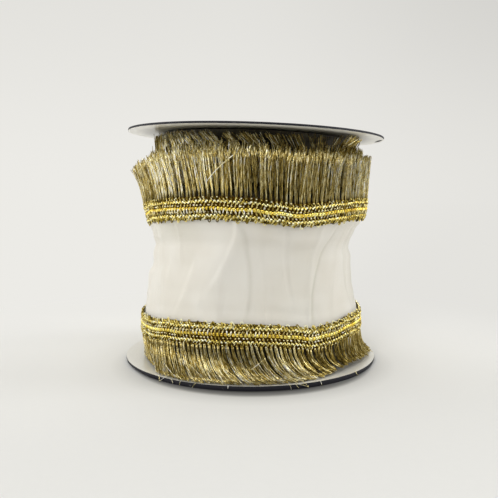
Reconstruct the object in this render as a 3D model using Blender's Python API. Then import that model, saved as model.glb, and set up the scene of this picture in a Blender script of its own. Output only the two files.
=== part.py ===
"""Ribbon fringe trim wound on a flanged card spool, in metres, +Z up.

The spool stands on its lower flange with the origin at the middle of its footprint. The front of the
model is -Y. Azimuths are in degrees from the front, positive towards +X.
"""

import math
import random
from collections import namedtuple

import bmesh
import bpy
from mathutils import Vector

MM = 0.001
MERGE = 0.01 * MM

# Spool
LOWER_FLANGE_RADIUS = 57.5 * MM
UPPER_FLANGE_RADIUS = 56.85 * MM
FLANGE_FLAT_RADIUS = 44.0 * MM
CARD = 0.9 * MM
RIM_RISE = 1.1 * MM
UPPER_FLANGE_HEIGHT = 100.7 * MM
UPPER_FLANGE_SLIP = 0.4 * MM
UPPER_FLANGE_TILT = math.radians(2.06)
FLANGE_STEPS = 72

# Ribbon: the lines along the middle of its two braids, and the bands themselves
LOWER_LINE = 20.5 * MM
UPPER_LINE = 67.85 * MM
BRAID_WIDTH = 10.0 * MM
RING_STEPS = 72

# Fringe: the strips of the outer turn, and the share of each pitch that a lock's root takes
STRIP_INNER_RADIUS = 48.0 * MM
STRIP_OUTER_RADIUS = 49.1 * MM
ROOT_SHARE = 0.62

# The warp fades out between these heights, above and below the braids
LOWER_FADE = (3.0 * MM, 15.0 * MM)
UPPER_FADE = (94.0 * MM, 100.0 * MM)

# Where the wound axis passes at each height, in millimetres: the spool leans, and its turns sway
Axis = namedtuple("Axis", "height x y")
AXIS_LINE = (
    Axis(0, -1.05, 1.95),
    Axis(20, -0.75, 1.2),
    Axis(38, -1.2, 0.4),
    Axis(50, -0.9, 0.0),
    Axis(60, 0.8, -0.4),
    Axis(70, 1.2, -0.8),
    Axis(90, 0.6, -1.6),
    Axis(102, 1.05, -1.95),
)

# How far each braid line rises or dips round the roll, in millimetres
Wave = namedtuple("Wave", "azimuth lower upper")
BRAID_WAVE = (
    Wave(-180, 0.2, 0.3),
    Wave(-150, 0.9, -0.7),
    Wave(-120, 0.2, -1.4),
    Wave(-90, -1.6, -2.6),
    Wave(-75, -1.5, -2.1),
    Wave(-60, -1.4, -0.1),
    Wave(-40, 0.0, 0.9),
    Wave(-20, 0.75, 1.6),
    Wave(-3, 0.7, 0.9),
    Wave(9, 0.3, -0.4),
    Wave(19, -0.6, -1.5),
    Wave(29, -2.1, -1.0),
    Wave(40, -1.5, -0.1),
    Wave(55, 0.0, 0.6),
    Wave(80, -0.1, 0.4),
    Wave(110, 0.5, 0.6),
    Wave(145, -0.4, 1.1),
    Wave(180, 0.2, 0.3),
)

# The outer skin of the roll from the lower flange to the upper one, in millimetres
Skin = namedtuple("Skin", "radius height")
ROLL_SKIN = (
    Skin(43.0, 1.25),
    Skin(44.6, 7.0),
    Skin(45.6, 12.5),
    Skin(47.6, 15.6),
    Skin(47.6, 20.6),
    Skin(49.35, 21.4),
    Skin(48.9, 25.0),
    Skin(47.3, 30.0),
    Skin(46.4, 37.0),
    Skin(45.8, 46.0),
    Skin(46.0, 54.0),
    Skin(46.9, 59.5),
    Skin(48.2, 63.4),
    Skin(48.8, 67.6),
    Skin(47.6, 68.6),
    Skin(47.6, 73.0),
    Skin(46.8, 74.6),
    Skin(41.0, 75.6),
    Skin(41.0, 88.0),
    Skin(41.0, 100.35),
)

# Soft pleats of the cloth between the braids: a ridge has a height over 0, a crease under 0.
# Azimuths in degrees at the pleat's upper and lower end, the rest in millimetres. Both ends of a
# pleat fade between these shares of its length, the first before its start.
PLEAT_FADE = (-0.15, 0.2)
Pleat = namedtuple("Pleat", "upper_azimuth lower_azimuth top bottom height width")
PLEATS = (
    Pleat(-9, -43, 60, 25, 0.9, 4.5),
    Pleat(-2, -3, 55, 24, -0.7, 4.0),
    Pleat(44, 31, 60, 23, -0.9, 4.5),
    Pleat(-42, -38, 66, 44, -0.6, 3.5),
    Pleat(-10, -13, 66, 46, -0.5, 3.5),
    Pleat(62, 58, 62, 28, 0.6, 4.5),
    Pleat(22, 14, 62, 30, 0.5, 5.0),
    Pleat(-70, -62, 60, 26, -0.7, 5.0),
    Pleat(92, 99, 64, 25, -0.8, 4.5),
    Pleat(124, 112, 60, 26, 0.9, 5.0),
    Pleat(150, 158, 64, 30, -0.7, 4.5),
    Pleat(-172, 178, 58, 24, 0.8, 5.0),
    Pleat(-146, -152, 64, 28, -0.9, 4.5),
    Pleat(-118, -104, 60, 25, 0.7, 5.0),
)

# The braid's section from its fringe edge to its cloth edge: how far in from the fringe edge, and how
# thick it is there, in millimetres
Rib = namedtuple("Rib", "across thickness")
BRAID_SECTION = (
    Rib(0.0, 0.7),
    Rib(1.6, 1.4),
    Rib(2.6, 0.8),
    Rib(3.4, 1.3),
    Rib(4.9, 1.3),
    Rib(5.7, 0.8),
    Rib(7.0, 1.4),
    Rib(8.0, 0.7),
    Rib(10.0, 0.6),
)
BRAID_BACK_AT_FRINGE = 50.05 * MM
LOWER_BRAID_BACK_AT_CLOTH = 49.55 * MM
UPPER_BRAID_BACK_AT_CLOTH = 48.6 * MM

# The middle line of one lock from its root to its cut end. Azimuth shift in degrees, the rest in
# millimetres.
Station = namedtuple("Station", "radius height shift width thickness")
OUTER_LOCK = (
    Station(48.55, 73.2, 0.0, 2.2, 1.1),
    Station(50.6, 75.6, 0.1, 2.4, 1.2),
    Station(52.6, 84.0, 0.3, 2.9, 1.4),
    Station(54.1, 91.8, 0.6, 3.0, 1.2),
)
SECOND_LOCK = (
    Station(45.6, 78.0, 0.0, 3.4, 1.2),
    Station(47.4, 86.0, 0.0, 4.3, 1.4),
    Station(48.6, 94.0, 0.5, 4.4, 1.2),
)
INNER_LOCK = (
    Station(42.0, 84.0, 0.0, 3.6, 1.2),
    Station(44.2, 92.5, -3.0, 4.6, 1.5),
    Station(45.2, 99.2, -10.0, 4.4, 1.4),
)
LOWER_LOCK = (
    Station(48.55, 16.2, 0.0, 2.2, 1.1),
    Station(50.8, 12.8, 0.3, 2.5, 1.3),
    Station(52.5, 4.8, 2.8, 2.9, 1.3),
    Station(56.3, 2.75, 7.0, 2.9, 1.0),
)
# How much further out or higher the cut ends of the outer turn's locks are at an azimuth in degrees,
# in millimetres. A lock bends towards this more and more from its root to its end.
Fall = namedtuple("Fall", "azimuth reach rise")
EVEN_FALL = (Fall(-180, 0.0, 0.0), Fall(180, 0.0, 0.0))
INNER_FALL = (
    Fall(-180, 0.0, 0.0),
    Fall(-10, 0.0, 0.0),
    Fall(10, 0.0, -0.5),
    Fall(30, 0.0, -0.6),
    Fall(48, 4.0, 0.0),
    Fall(60, 4.0, 0.0),
    Fall(75, 0.0, 0.0),
    Fall(180, 0.0, 0.0),
)
UPPER_FALL = (
    Fall(-180, -0.8, -0.5),
    Fall(-100, 0.0, -2.5),
    Fall(-80, 0.0, -2.5),
    Fall(-62, 0.0, -1.9),
    Fall(-50, 0.0, -0.8),
    Fall(-20, 0.1, -1.1),
    Fall(0, 0.0, -0.4),
    Fall(30, -0.4, 0.2),
    Fall(60, -1.6, -1.0),
    Fall(110, -2.0, -1.0),
    Fall(180, -0.8, -0.5),
)
LOWER_FALL = (
    Fall(-180, -1.0, 0.0),
    Fall(-100, -6.5, 0.0),
    Fall(-78, -7.0, 0.0),
    Fall(-62, -5.5, 0.0),
    Fall(-50, -2.0, 0.0),
    Fall(-38, 0.0, 0.0),
    Fall(10, 0.0, 0.0),
    Fall(21, -1.5, 0.2),
    Fall(35, -4.3, 1.0),
    Fall(50, -4.3, 1.5),
    Fall(65, -2.5, 1.0),
    Fall(85, 0.0, 0.0),
    Fall(180, -1.0, 0.0),
)
# Each strip's inner and outer radius and its lower and upper height
UPPER_STRIP = (STRIP_INNER_RADIUS, STRIP_OUTER_RADIUS, 69.4 * MM, 73.2 * MM)
LOWER_STRIP = (STRIP_INNER_RADIUS, STRIP_OUTER_RADIUS, 16.2 * MM, 20.0 * MM)
SECOND_STRIP = (45.0 * MM, 46.2 * MM, 75.3 * MM, 78.0 * MM)
INNER_STRIP = (41.4 * MM, 42.6 * MM, 77.5 * MM, 84.0 * MM)

# stretch is the least and most that a lock's length is multiplied by. A lock's lean is in degrees at
# each station, and its reach and rise are in millimetres at its cut end.
Ring = namedtuple("Ring", "locks strip stations stretch seed fall")
Lock = namedtuple("Lock", "azimuth stretch lean reach rise")
LOCK_LEAN = 0.15
FRINGES = {
    "fringe_upper": Ring(80, UPPER_STRIP, OUTER_LOCK, (0.95, 1.04), 3, UPPER_FALL),
    "fringe_second_turn": Ring(44, SECOND_STRIP, SECOND_LOCK, (0.95, 1.04), 5, EVEN_FALL),
    "fringe_inner_turns": Ring(36, INNER_STRIP, INNER_LOCK, (0.95, 1.04), 7, INNER_FALL),
    "fringe_lower": Ring(80, LOWER_STRIP, LOWER_LOCK, (1.0, 1.0), 9, LOWER_FALL),
}


def clear_scene():
    """Removes whatever the scene holds."""
    for obj in list(bpy.data.objects):
        bpy.data.objects.remove(obj, do_unlink=True)


def smooth_step(low, high, value):
    """0 below low, 1 above high, and an even curve between."""
    share = min(1.0, max(0.0, (value - low) / (high - low)))
    return share * share * (3.0 - 2.0 * share)


def read_table(rows, key, column, value):
    """The column at value, eased from one row of the table to the next."""
    for before, after in zip(rows, rows[1:]):
        if value <= getattr(after, key):
            share = smooth_step(getattr(before, key), getattr(after, key), value)
            start = getattr(before, column)
            return start + (getattr(after, column) - start) * share
    return getattr(rows[-1], column)


def axis_at(height):
    """The point that the turns are wound round at this height."""
    row = height / MM
    x = read_table(AXIS_LINE, "height", "x", row)
    y = read_table(AXIS_LINE, "height", "y", row)
    return Vector((x * MM, y * MM))


def lift_at(azimuth, height):
    """How far the braids' unevenness lifts a point of the roll."""
    degrees = math.degrees(azimuth)
    lower = read_table(BRAID_WAVE, "azimuth", "lower", degrees) * MM
    upper = read_table(BRAID_WAVE, "azimuth", "upper", degrees) * MM
    if height < LOWER_LINE:
        return lower * smooth_step(*LOWER_FADE, height)
    if height > UPPER_LINE:
        return upper * (1.0 - smooth_step(*UPPER_FADE, height))
    share = (height - LOWER_LINE) / (UPPER_LINE - LOWER_LINE)
    return lower + (upper - lower) * share


def in_place(azimuth, radius, height):
    """The place of a point of the wound ribbon, given on a straight even roll."""
    centre = axis_at(height)
    x = centre.x + radius * math.sin(azimuth)
    y = centre.y - radius * math.cos(azimuth)
    slope = smooth_step(*UPPER_FADE, height) * math.tan(UPPER_FLANGE_TILT)
    drop = (x - axis_at(UPPER_FLANGE_HEIGHT).x) * slope
    return Vector((x, y, height + lift_at(azimuth, height) - drop))


def polar(point):
    """(azimuth, radius, height) of a point of the straight even roll."""
    return math.atan2(point.x, -point.y), math.hypot(point.x, point.y), point.z


def settle(bm):
    """Moves every vertex of a straight even shape to its place on the real roll."""
    for vert in bm.verts:
        vert.co = in_place(*polar(vert.co))


def revolve(points, steps, closed):
    """A bmesh of the (radius, height) points turned once round the Z axis."""
    bm = bmesh.new()
    verts = [bm.verts.new((radius, 0.0, height)) for radius, height in points]
    edges = [bm.edges.new(pair) for pair in zip(verts, verts[1:])]
    if closed:
        edges.append(bm.edges.new((verts[-1], verts[0])))
    bmesh.ops.spin(
        bm,
        geom=verts + edges,
        cent=(0.0, 0.0, 0.0),
        axis=(0.0, 0.0, 1.0),
        angle=math.tau,
        steps=steps,
        use_merge=True,
        use_duplicate=False,
    )
    bmesh.ops.remove_doubles(bm, verts=bm.verts, dist=MERGE)
    bmesh.ops.recalc_face_normals(bm, faces=bm.faces)
    return bm


def make_material(name, color, roughness, metallic):
    """A plain Principled material."""
    material = bpy.data.materials.new(name)
    material.use_nodes = True
    shader = material.node_tree.nodes["Principled BSDF"]
    shader.inputs["Base Color"].default_value = (*color, 1.0)
    shader.inputs["Roughness"].default_value = roughness
    shader.inputs["Metallic"].default_value = metallic
    material.diffuse_color = (*color, 1.0)
    return material


def add_object(name, bm, material, parent, sharp_degrees=40.0):
    """Turns the bmesh into a smooth shaded object under the parent."""
    mesh = bpy.data.meshes.new(name)
    bm.to_mesh(mesh)
    bm.free()
    mesh.shade_smooth()
    mesh.set_sharp_from_angle(angle=math.radians(sharp_degrees))
    mesh.materials.append(material)
    obj = bpy.data.objects.new(name, mesh)
    bpy.context.scene.collection.objects.link(obj)
    obj.parent = parent
    return obj


def flange_outline(rim, rise):
    """Half the section of a card disc whose rim bows up by rise, from the lower centre to the upper."""
    middle = (FLANGE_FLAT_RADIUS + rim) / 2
    under = [
        (0.0, 0.0),
        (FLANGE_FLAT_RADIUS, 0.0),
        (middle, rise / 4),
        (rim, rise),
    ]
    return under + [(radius, height + CARD) for radius, height in reversed(under)]


def make_flanges(card, parent):
    """The two card discs that hold the roll."""
    lower = revolve(flange_outline(LOWER_FLANGE_RADIUS, RIM_RISE), FLANGE_STEPS, closed=False)
    bottom = add_object("spool_flange_bottom", lower, card, parent)
    base = axis_at(0.0)
    bottom.location = (base.x, base.y, 0.0)
    upper = revolve(flange_outline(UPPER_FLANGE_RADIUS, 0.0), FLANGE_STEPS, closed=False)
    top = add_object("spool_flange_top", upper, card, parent)
    crown = axis_at(UPPER_FLANGE_HEIGHT)
    top.location = (crown.x + UPPER_FLANGE_SLIP, crown.y, UPPER_FLANGE_HEIGHT)
    top.rotation_euler = (0.0, UPPER_FLANGE_TILT, 0.0)


def pleat_relief(azimuth, height):
    """How far the pleats push the cloth out at this point."""
    total = 0.0
    for pleat in PLEATS:
        top = pleat.top * MM
        bottom = pleat.bottom * MM
        share = (top - height) / (top - bottom)
        turn = (pleat.lower_azimuth - pleat.upper_azimuth + 180.0) % 360.0 - 180.0
        middle = math.radians(pleat.upper_azimuth + turn * share)
        away = math.remainder(azimuth - middle, math.tau) * FLANGE_FLAT_RADIUS / (pleat.width * MM)
        ends = smooth_step(*PLEAT_FADE, share) * smooth_step(*PLEAT_FADE, 1.0 - share)
        total += pleat.height * MM * ends * math.exp(-away * away)
    return total


def make_roll(cloth, parent):
    """The wound ribbon: waisted between the thick braids, and pleated where it is slack."""
    skin = [(row.radius * MM, row.height * MM) for row in ROLL_SKIN]
    outline = [(0.0, skin[0][1])] + skin + [(0.0, skin[-1][1])]
    bm = revolve(outline, RING_STEPS, closed=False)
    for vert in bm.verts:
        azimuth, radius, height = polar(vert.co)
        if radius > FLANGE_FLAT_RADIUS:
            relief = pleat_relief(azimuth, height)
            vert.co.x += relief * math.sin(azimuth)
            vert.co.y -= relief * math.cos(azimuth)
    settle(bm)
    add_object("ribbon_roll", bm, cloth, parent, sharp_degrees=60.0)


def braid_outline(line, side, back_at_cloth):
    """The section of a braid: side is 1 where its fringe edge is the upper one, -1 where it is lower."""
    fringe_edge = line + side * BRAID_WIDTH / 2
    front = []
    back = []
    for rib in BRAID_SECTION:
        share = rib.across * MM / BRAID_WIDTH
        height = fringe_edge - side * rib.across * MM
        inner = BRAID_BACK_AT_FRINGE + (back_at_cloth - BRAID_BACK_AT_FRINGE) * share
        front.append((inner + rib.thickness * MM, height))
        if share in (0.0, 1.0):
            back.append((inner, height))
    return front + list(reversed(back))


def make_braids(gold, parent):
    """The two gold headings of the outer turn."""
    for name, line, side, back in (
        ("braid_upper", UPPER_LINE, 1, UPPER_BRAID_BACK_AT_CLOTH),
        ("braid_lower", LOWER_LINE, -1, LOWER_BRAID_BACK_AT_CLOTH),
    ):
        bm = revolve(braid_outline(line, side, back), RING_STEPS, closed=True)
        settle(bm)
        add_object(name, bm, gold, parent, sharp_degrees=30.0)


def strip_ring(strip, locks):
    """A narrow ring whose faces are by turns wide, for a lock's root, and narrow, for a gap."""
    inner, outer, low, high = strip
    outline = [(inner, low), (outer, low), (outer, high), (inner, high)]
    bm = revolve(outline, 2 * locks, closed=True)
    half_pitch = math.pi / locks
    nudge = (ROOT_SHARE - 0.5) * half_pitch
    for vert in bm.verts:
        azimuth, radius, height = polar(vert.co)
        index = round(azimuth / half_pitch)
        azimuth = index * half_pitch + (nudge if index % 2 else -nudge)
        vert.co = Vector((radius * math.sin(azimuth), -radius * math.cos(azimuth), height))
    return bm


def root_faces(bm, strip, locks, height):
    """The wide faces of the strip at this height, in order round the ring."""
    inner = strip[0]
    found = []
    for face in bm.faces:
        level = all(abs(vert.co.z - height) < MERGE for vert in face.verts)
        widest = max(edge.calc_length() for edge in face.edges)
        if level and widest > inner * math.pi / locks:
            found.append(face)
    return sorted(found, key=lambda face: polar(face.calc_center_median())[0])


def across_lock(stations, index):
    """The direction across a lock's thickness at a station, in (radius, height)."""
    before = stations[max(0, index - 1)]
    after = stations[min(len(stations) - 1, index + 1)]
    along = Vector((after.radius - before.radius, after.height - before.height)).normalized()
    across = Vector((along.y, -along.x))
    return across if across.x >= 0.0 else -across


def grow_section(bm, face, stations, index, lock):
    """Extrudes a lock's end face to its next station, and returns the new end face."""
    middle_azimuth, middle_radius, middle_height = polar(face.calc_center_median())
    new = bmesh.ops.extrude_discrete_faces(bm, faces=[face])["faces"][0]
    station = stations[index]
    before = across_lock(stations, index - 1)
    across = across_lock(stations, index)
    share = (index / (len(stations) - 1)) ** 2
    rise = (station.height - stations[0].height) * lock.stretch + lock.rise * share
    radius = (station.radius + lock.reach * share) * MM
    height = (stations[0].height + rise) * MM
    turned = lock.azimuth + math.radians(station.shift + lock.lean * index)
    for vert in new.verts:
        azimuth, vert_radius, vert_height = polar(vert.co)
        offset = (vert_radius - middle_radius, vert_height - middle_height)
        outward = offset[0] * before.x + offset[1] * before.y > 0.0
        sideways = math.remainder(azimuth - middle_azimuth, math.tau) > 0.0
        reach = station.thickness * MM / 2 * (1 if outward else -1)
        swing = station.width * MM / 2 / radius * (1 if sideways else -1)
        far = radius + across.x * reach
        angle = turned + swing
        vert.co = Vector((far * math.sin(angle), -far * math.cos(angle), height + across.y * reach))
    return new


def make_fringe(name, gold, parent, ring):
    """A ring of locks grown out of a narrow strip, up or down as its stations go."""
    rng = random.Random(ring.seed)
    bm = strip_ring(ring.strip, ring.locks)
    upward = ring.stations[-1].height > ring.stations[0].height
    root_height = ring.strip[3] if upward else ring.strip[2]
    for face in root_faces(bm, ring.strip, ring.locks, root_height):
        azimuth = polar(face.calc_center_median())[0]
        degrees = math.degrees(azimuth)
        reach = read_table(ring.fall, "azimuth", "reach", degrees)
        rise = read_table(ring.fall, "azimuth", "rise", degrees)
        stretch = rng.uniform(*ring.stretch)
        lock = Lock(azimuth, stretch, rng.uniform(-LOCK_LEAN, LOCK_LEAN), reach, rise)
        end = face
        for index in range(1, len(ring.stations)):
            end = grow_section(bm, end, ring.stations, index, lock)
    bmesh.ops.recalc_face_normals(bm, faces=bm.faces)
    settle(bm)
    add_object(name, bm, gold, parent, sharp_degrees=30.0)


def make_fringes(gold, parent):
    """The four rings of fringe that show."""
    for name, ring in FRINGES.items():
        make_fringe(name, gold, parent, ring)


def main():
    """Builds the spool, the roll and its trims."""
    clear_scene()
    card = make_material("spool_card", (0.56, 0.56, 0.53), 0.6, 0.0)
    cloth = make_material("ribbon_cloth", (0.82, 0.80, 0.75), 0.85, 0.0)
    braid = make_material("braid_gold", (0.72, 0.55, 0.16), 0.4, 0.6)
    fringe = make_material("fringe_gold", (0.46, 0.40, 0.22), 0.45, 0.5)
    spool = bpy.data.objects.new("spool", None)
    bpy.context.scene.collection.objects.link(spool)
    make_flanges(card, spool)
    make_roll(cloth, spool)
    make_braids(braid, spool)
    make_fringes(fringe, spool)


main()
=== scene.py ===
"""Looks of a ribbon fringe trim wound on a flanged card spool, in metres, +Z up.

Every soft piece is first laid out on a straight, even roll, in millimetres of radius and height and
radians of azimuth. Winding then sets its points where the real roll, which leans and whose braids are
uneven, has them. Azimuths run from the front, which is -Y, towards +X.
"""

import logging
import math
from collections.abc import Callable, Sequence
from dataclasses import dataclass
from enum import Enum
from typing import Any, NamedTuple, TypeVar

import bmesh
import bpy
import numpy as np
from bpy.types import ColorRamp, Material, Mesh, Node, NodeSocket, NodeTree, Object
from mathutils import Matrix, Vector
from numpy.random import Generator


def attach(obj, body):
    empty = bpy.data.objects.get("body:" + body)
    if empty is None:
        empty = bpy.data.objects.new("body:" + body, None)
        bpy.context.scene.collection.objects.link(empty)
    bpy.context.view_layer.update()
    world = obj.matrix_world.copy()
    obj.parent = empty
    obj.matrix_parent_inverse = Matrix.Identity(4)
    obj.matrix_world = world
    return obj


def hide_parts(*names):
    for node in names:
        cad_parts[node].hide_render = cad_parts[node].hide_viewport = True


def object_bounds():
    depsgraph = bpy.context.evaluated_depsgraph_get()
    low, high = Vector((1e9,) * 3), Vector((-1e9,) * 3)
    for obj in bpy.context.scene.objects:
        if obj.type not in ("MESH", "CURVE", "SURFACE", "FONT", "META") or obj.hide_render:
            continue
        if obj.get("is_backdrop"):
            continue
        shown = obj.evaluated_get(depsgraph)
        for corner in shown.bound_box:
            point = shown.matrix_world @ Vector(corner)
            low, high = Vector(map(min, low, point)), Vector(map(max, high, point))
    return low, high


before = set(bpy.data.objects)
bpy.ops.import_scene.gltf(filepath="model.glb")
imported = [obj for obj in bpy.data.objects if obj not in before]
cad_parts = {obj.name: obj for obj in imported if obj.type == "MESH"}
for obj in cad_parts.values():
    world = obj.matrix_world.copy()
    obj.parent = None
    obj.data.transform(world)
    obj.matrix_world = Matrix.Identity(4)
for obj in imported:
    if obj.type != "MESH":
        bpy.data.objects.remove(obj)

MM = 0.001
# Points closer than this are one.
SAME_PLACE = 0.002 * MM
# How many bundles of fringe there are round the roll, each with a knot over its root.
BUNDLES = 166
# How far apart two threads start in the grain noise, in millimetres, so that they differ.
OWN_START = 37.3
LOG = logging.getLogger("fringe_trim")

Color = tuple[float, float, float]
Point = tuple[float, float, float]
Pair = tuple[float, float]
Row = TypeVar("Row")


def smooth_step(low: float, high: float, value: np.ndarray) -> np.ndarray:
    """0 below low, 1 above high, and an even curve between."""
    share = np.clip((np.asarray(value, float) - low) / (high - low), 0.0, 1.0)
    return share * share * (3.0 - 2.0 * share)


def eased(rows: Sequence[Any], key: str, column: str, value: np.ndarray) -> np.ndarray:
    """Reads one column of a table, eased from row to row.

    Args:
        rows: The table, in rising order of its key.
        key: The column that value is looked up in.
        column: The column that is read.
        value: One or many key values.

    Returns:
        The column at each value, level past the table's ends.
    """
    keys = np.array([getattr(row, key) for row in rows], float)
    values = np.array([getattr(row, column) for row in rows], float)
    value = np.asarray(value, float)
    index = np.clip(np.searchsorted(keys, value, side="right") - 1, 0, len(keys) - 2)
    share = smooth_step(0.0, 1.0, (value - keys[index]) / (keys[index + 1] - keys[index]))
    return values[index] + (values[index + 1] - values[index]) * share


def table(kind: Callable[..., Row], *rows: tuple[Any, ...]) -> tuple[Row, ...]:
    """Rows of one kind, each made from its values in order."""
    return tuple(kind(*row) for row in rows)


def in_degrees(azimuth: np.ndarray) -> np.ndarray:
    """Azimuths in degrees, from -180 up to 180."""
    return (np.degrees(azimuth) + 180.0) % 360.0 - 180.0


class AxisPoint(NamedTuple):
    """Where the turns' middle passes at a height, in millimetres."""

    height: float
    x: float
    y: float


class Wave(NamedTuple):
    """How far each braid rises or dips at an azimuth in degrees, in millimetres."""

    azimuth: float
    lower: float
    upper: float


@dataclass(frozen=True)
class Winding:
    """The real roll: its leaning middle, its uneven braids and the tilt of its upper flange.

    Attributes:
        axis: Where the turns' middle passes.
        waves: How far the braids rise or dip round the roll.
        lower_line: The height of the lower braid, where its own wave holds in full.
        upper_line: That of the upper braid.
        lower_fade: The heights between which the waves set in above the lower flange.
        upper_fade: The heights between which they end under the upper flange, and its tilt sets in.
        flange_height: The height of the upper flange's underside.
        flange_tilt: How far it leans, in radians, the left side up.
    """

    axis: tuple[AxisPoint, ...] = table(
        AxisPoint,
        (0, -1.05, 1.95), (20, -0.75, 1.2), (38, -1.2, 0.4), (50, -0.9, 0.0), (60, 0.8, -0.4),
        (70, 1.2, -0.8), (90, 0.6, -1.6), (102, 1.05, -1.95),
    )
    waves: tuple[Wave, ...] = table(
        Wave,
        (-180, 0.2, 0.3), (-150, 0.9, -0.7), (-120, 0.2, -1.4), (-90, -1.6, -2.6),
        (-75, -1.5, -2.1), (-60, -1.4, -0.1), (-40, 0.0, 0.9), (-20, 0.75, 1.6), (-3, 0.7, 0.9),
        (9, 0.3, -0.4), (19, -0.6, -1.5), (29, -2.1, -1.0), (40, -1.5, -0.1), (55, 0.0, 0.6),
        (80, -0.1, 0.4), (110, 0.5, 0.6), (145, -0.4, 1.1), (180, 0.2, 0.3),
    )
    lower_line: float = 20.5
    upper_line: float = 67.85
    lower_fade: Pair = (3.0, 15.0)
    upper_fade: Pair = (94.0, 100.0)
    flange_height: float = 100.7
    flange_tilt: float = math.radians(2.06)

    def middle(self, height: np.ndarray) -> tuple[np.ndarray, np.ndarray]:
        """The x and y of the turns' middle at each height."""
        return eased(self.axis, "height", "x", height), eased(self.axis, "height", "y", height)

    def lift(self, azimuth: np.ndarray, height: np.ndarray) -> np.ndarray:
        """How far the braids' unevenness lifts each point of the roll.

        Args:
            azimuth: Angles from the front, in radians.
            height: Heights, in millimetres.

        Returns:
            The lifts, in millimetres.
        """
        degrees = in_degrees(azimuth)
        lower = eased(self.waves, "azimuth", "lower", degrees)
        upper = eased(self.waves, "azimuth", "upper", degrees)
        span = self.upper_line - self.lower_line
        share = np.clip((height - self.lower_line) / span, 0.0, 1.0)
        fade = smooth_step(*self.lower_fade, height) * (1.0 - smooth_step(*self.upper_fade, height))
        return (lower + (upper - lower) * share) * fade

    def place(self, azimuth: np.ndarray, radius: np.ndarray, height: np.ndarray) -> np.ndarray:
        """Sets points of the straight even roll on the real one.

        Args:
            azimuth: Angles from the front, in radians.
            radius: Distances from the middle, in millimetres.
            height: Heights, in millimetres.

        Returns:
            The points, in metres, with x, y and z along the last axis.
        """
        middle_x, middle_y = self.middle(height)
        x = middle_x + radius * np.sin(azimuth)
        y = middle_y - radius * np.cos(azimuth)
        slope = smooth_step(*self.upper_fade, height) * math.tan(self.flange_tilt)
        drop = (x - self.middle(self.flange_height)[0]) * slope
        return np.stack([x, y, height + self.lift(azimuth, height) - drop], axis=-1) * MM

    def set_bmesh(self, bm: bmesh.types.BMesh) -> None:
        """Moves a bmesh of the straight even roll to the real one.

        Args:
            bm: The bmesh, in metres.
        """
        points = np.array([vert.co for vert in bm.verts]) / MM
        azimuth = np.arctan2(points[:, 0], -points[:, 1])
        placed = self.place(azimuth, np.hypot(points[:, 0], points[:, 1]), points[:, 2])
        for vert, point in zip(bm.verts, placed):
            vert.co = point


WINDING = Winding()


@dataclass
class Shape:
    """One or many joined closed forms as arrays.

    Attributes:
        verts: Points in metres, one in each row.
        faces: Arrays of vertex numbers, one array for each number of corners.
        shade: The tone of each vertex, from 0 for dark to 1 for bright.
        run: How far along its thread each vertex is, in millimetres from a start of the thread's own.
    """

    verts: np.ndarray
    faces: list[np.ndarray]
    shade: np.ndarray
    run: np.ndarray

    def joined(self, other: "Shape") -> "Shape":
        """Two shapes as one.

        Args:
            other: The second shape.

        Returns:
            The joined shape, this one's points first.
        """
        moved = [rows + len(self.verts) for rows in other.faces]
        return Shape(
            np.concatenate([self.verts, other.verts]),
            self.faces + moved,
            np.concatenate([self.shade, other.shade]),
            np.concatenate([self.run, other.run]),
        )

    def facing_out(self) -> "Shape":
        """The shape with its faces turned outwards, judged by the sign of its volume."""
        volume = 0.0
        for rows in self.faces:
            first = self.verts[rows[:, 0]]
            for corner in range(1, rows.shape[1] - 1):
                pair = np.cross(self.verts[rows[:, corner]], self.verts[rows[:, corner + 1]])
                volume += float(np.einsum("ij,ij->", first, pair))
        if volume >= 0.0:
            return self
        return Shape(self.verts, [rows[:, ::-1] for rows in self.faces], self.shade, self.run)

    def mesh(self, name: str) -> Mesh:
        """A smooth shaded mesh with the shade and the run as point attributes.

        Args:
            name: The mesh's name.

        Returns:
            The new mesh.
        """
        mesh = bpy.data.meshes.new(name)
        faces = [row for rows in self.faces for row in rows.tolist()]
        mesh.from_pydata(self.verts.tolist(), [], faces)
        for label, values in (("shade", self.shade), ("run", self.run)):
            layer = mesh.attributes.new(label, "FLOAT", "POINT")
            layer.data.foreach_set("value", values.astype(np.float32))
        mesh.shade_smooth()
        return mesh


def ring_frames(paths: np.ndarray, closed: bool) -> tuple[np.ndarray, np.ndarray]:
    """Two directions across each point of many paths, at right angles to it and to each other.

    Args:
        paths: Points in metres, as (path, point, xyz).
        closed: Whether each path runs round to its own start.

    Returns:
        The two unit vectors at each point, the second one facing roughly out of the roll.
    """
    if closed:
        tangent = np.roll(paths, -1, axis=1) - np.roll(paths, 1, axis=1)
    else:
        tangent = np.gradient(paths, axis=1)
    tangent /= np.linalg.norm(tangent, axis=-1, keepdims=True)
    outward = paths * (1.0, 1.0, 0.0)
    outward /= np.linalg.norm(outward, axis=-1, keepdims=True)
    never_along = (0.0, 0.0, 0.4)
    side = np.cross(tangent, outward + never_along)
    side /= np.linalg.norm(side, axis=-1, keepdims=True)
    return side, np.cross(tangent, side)


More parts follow.
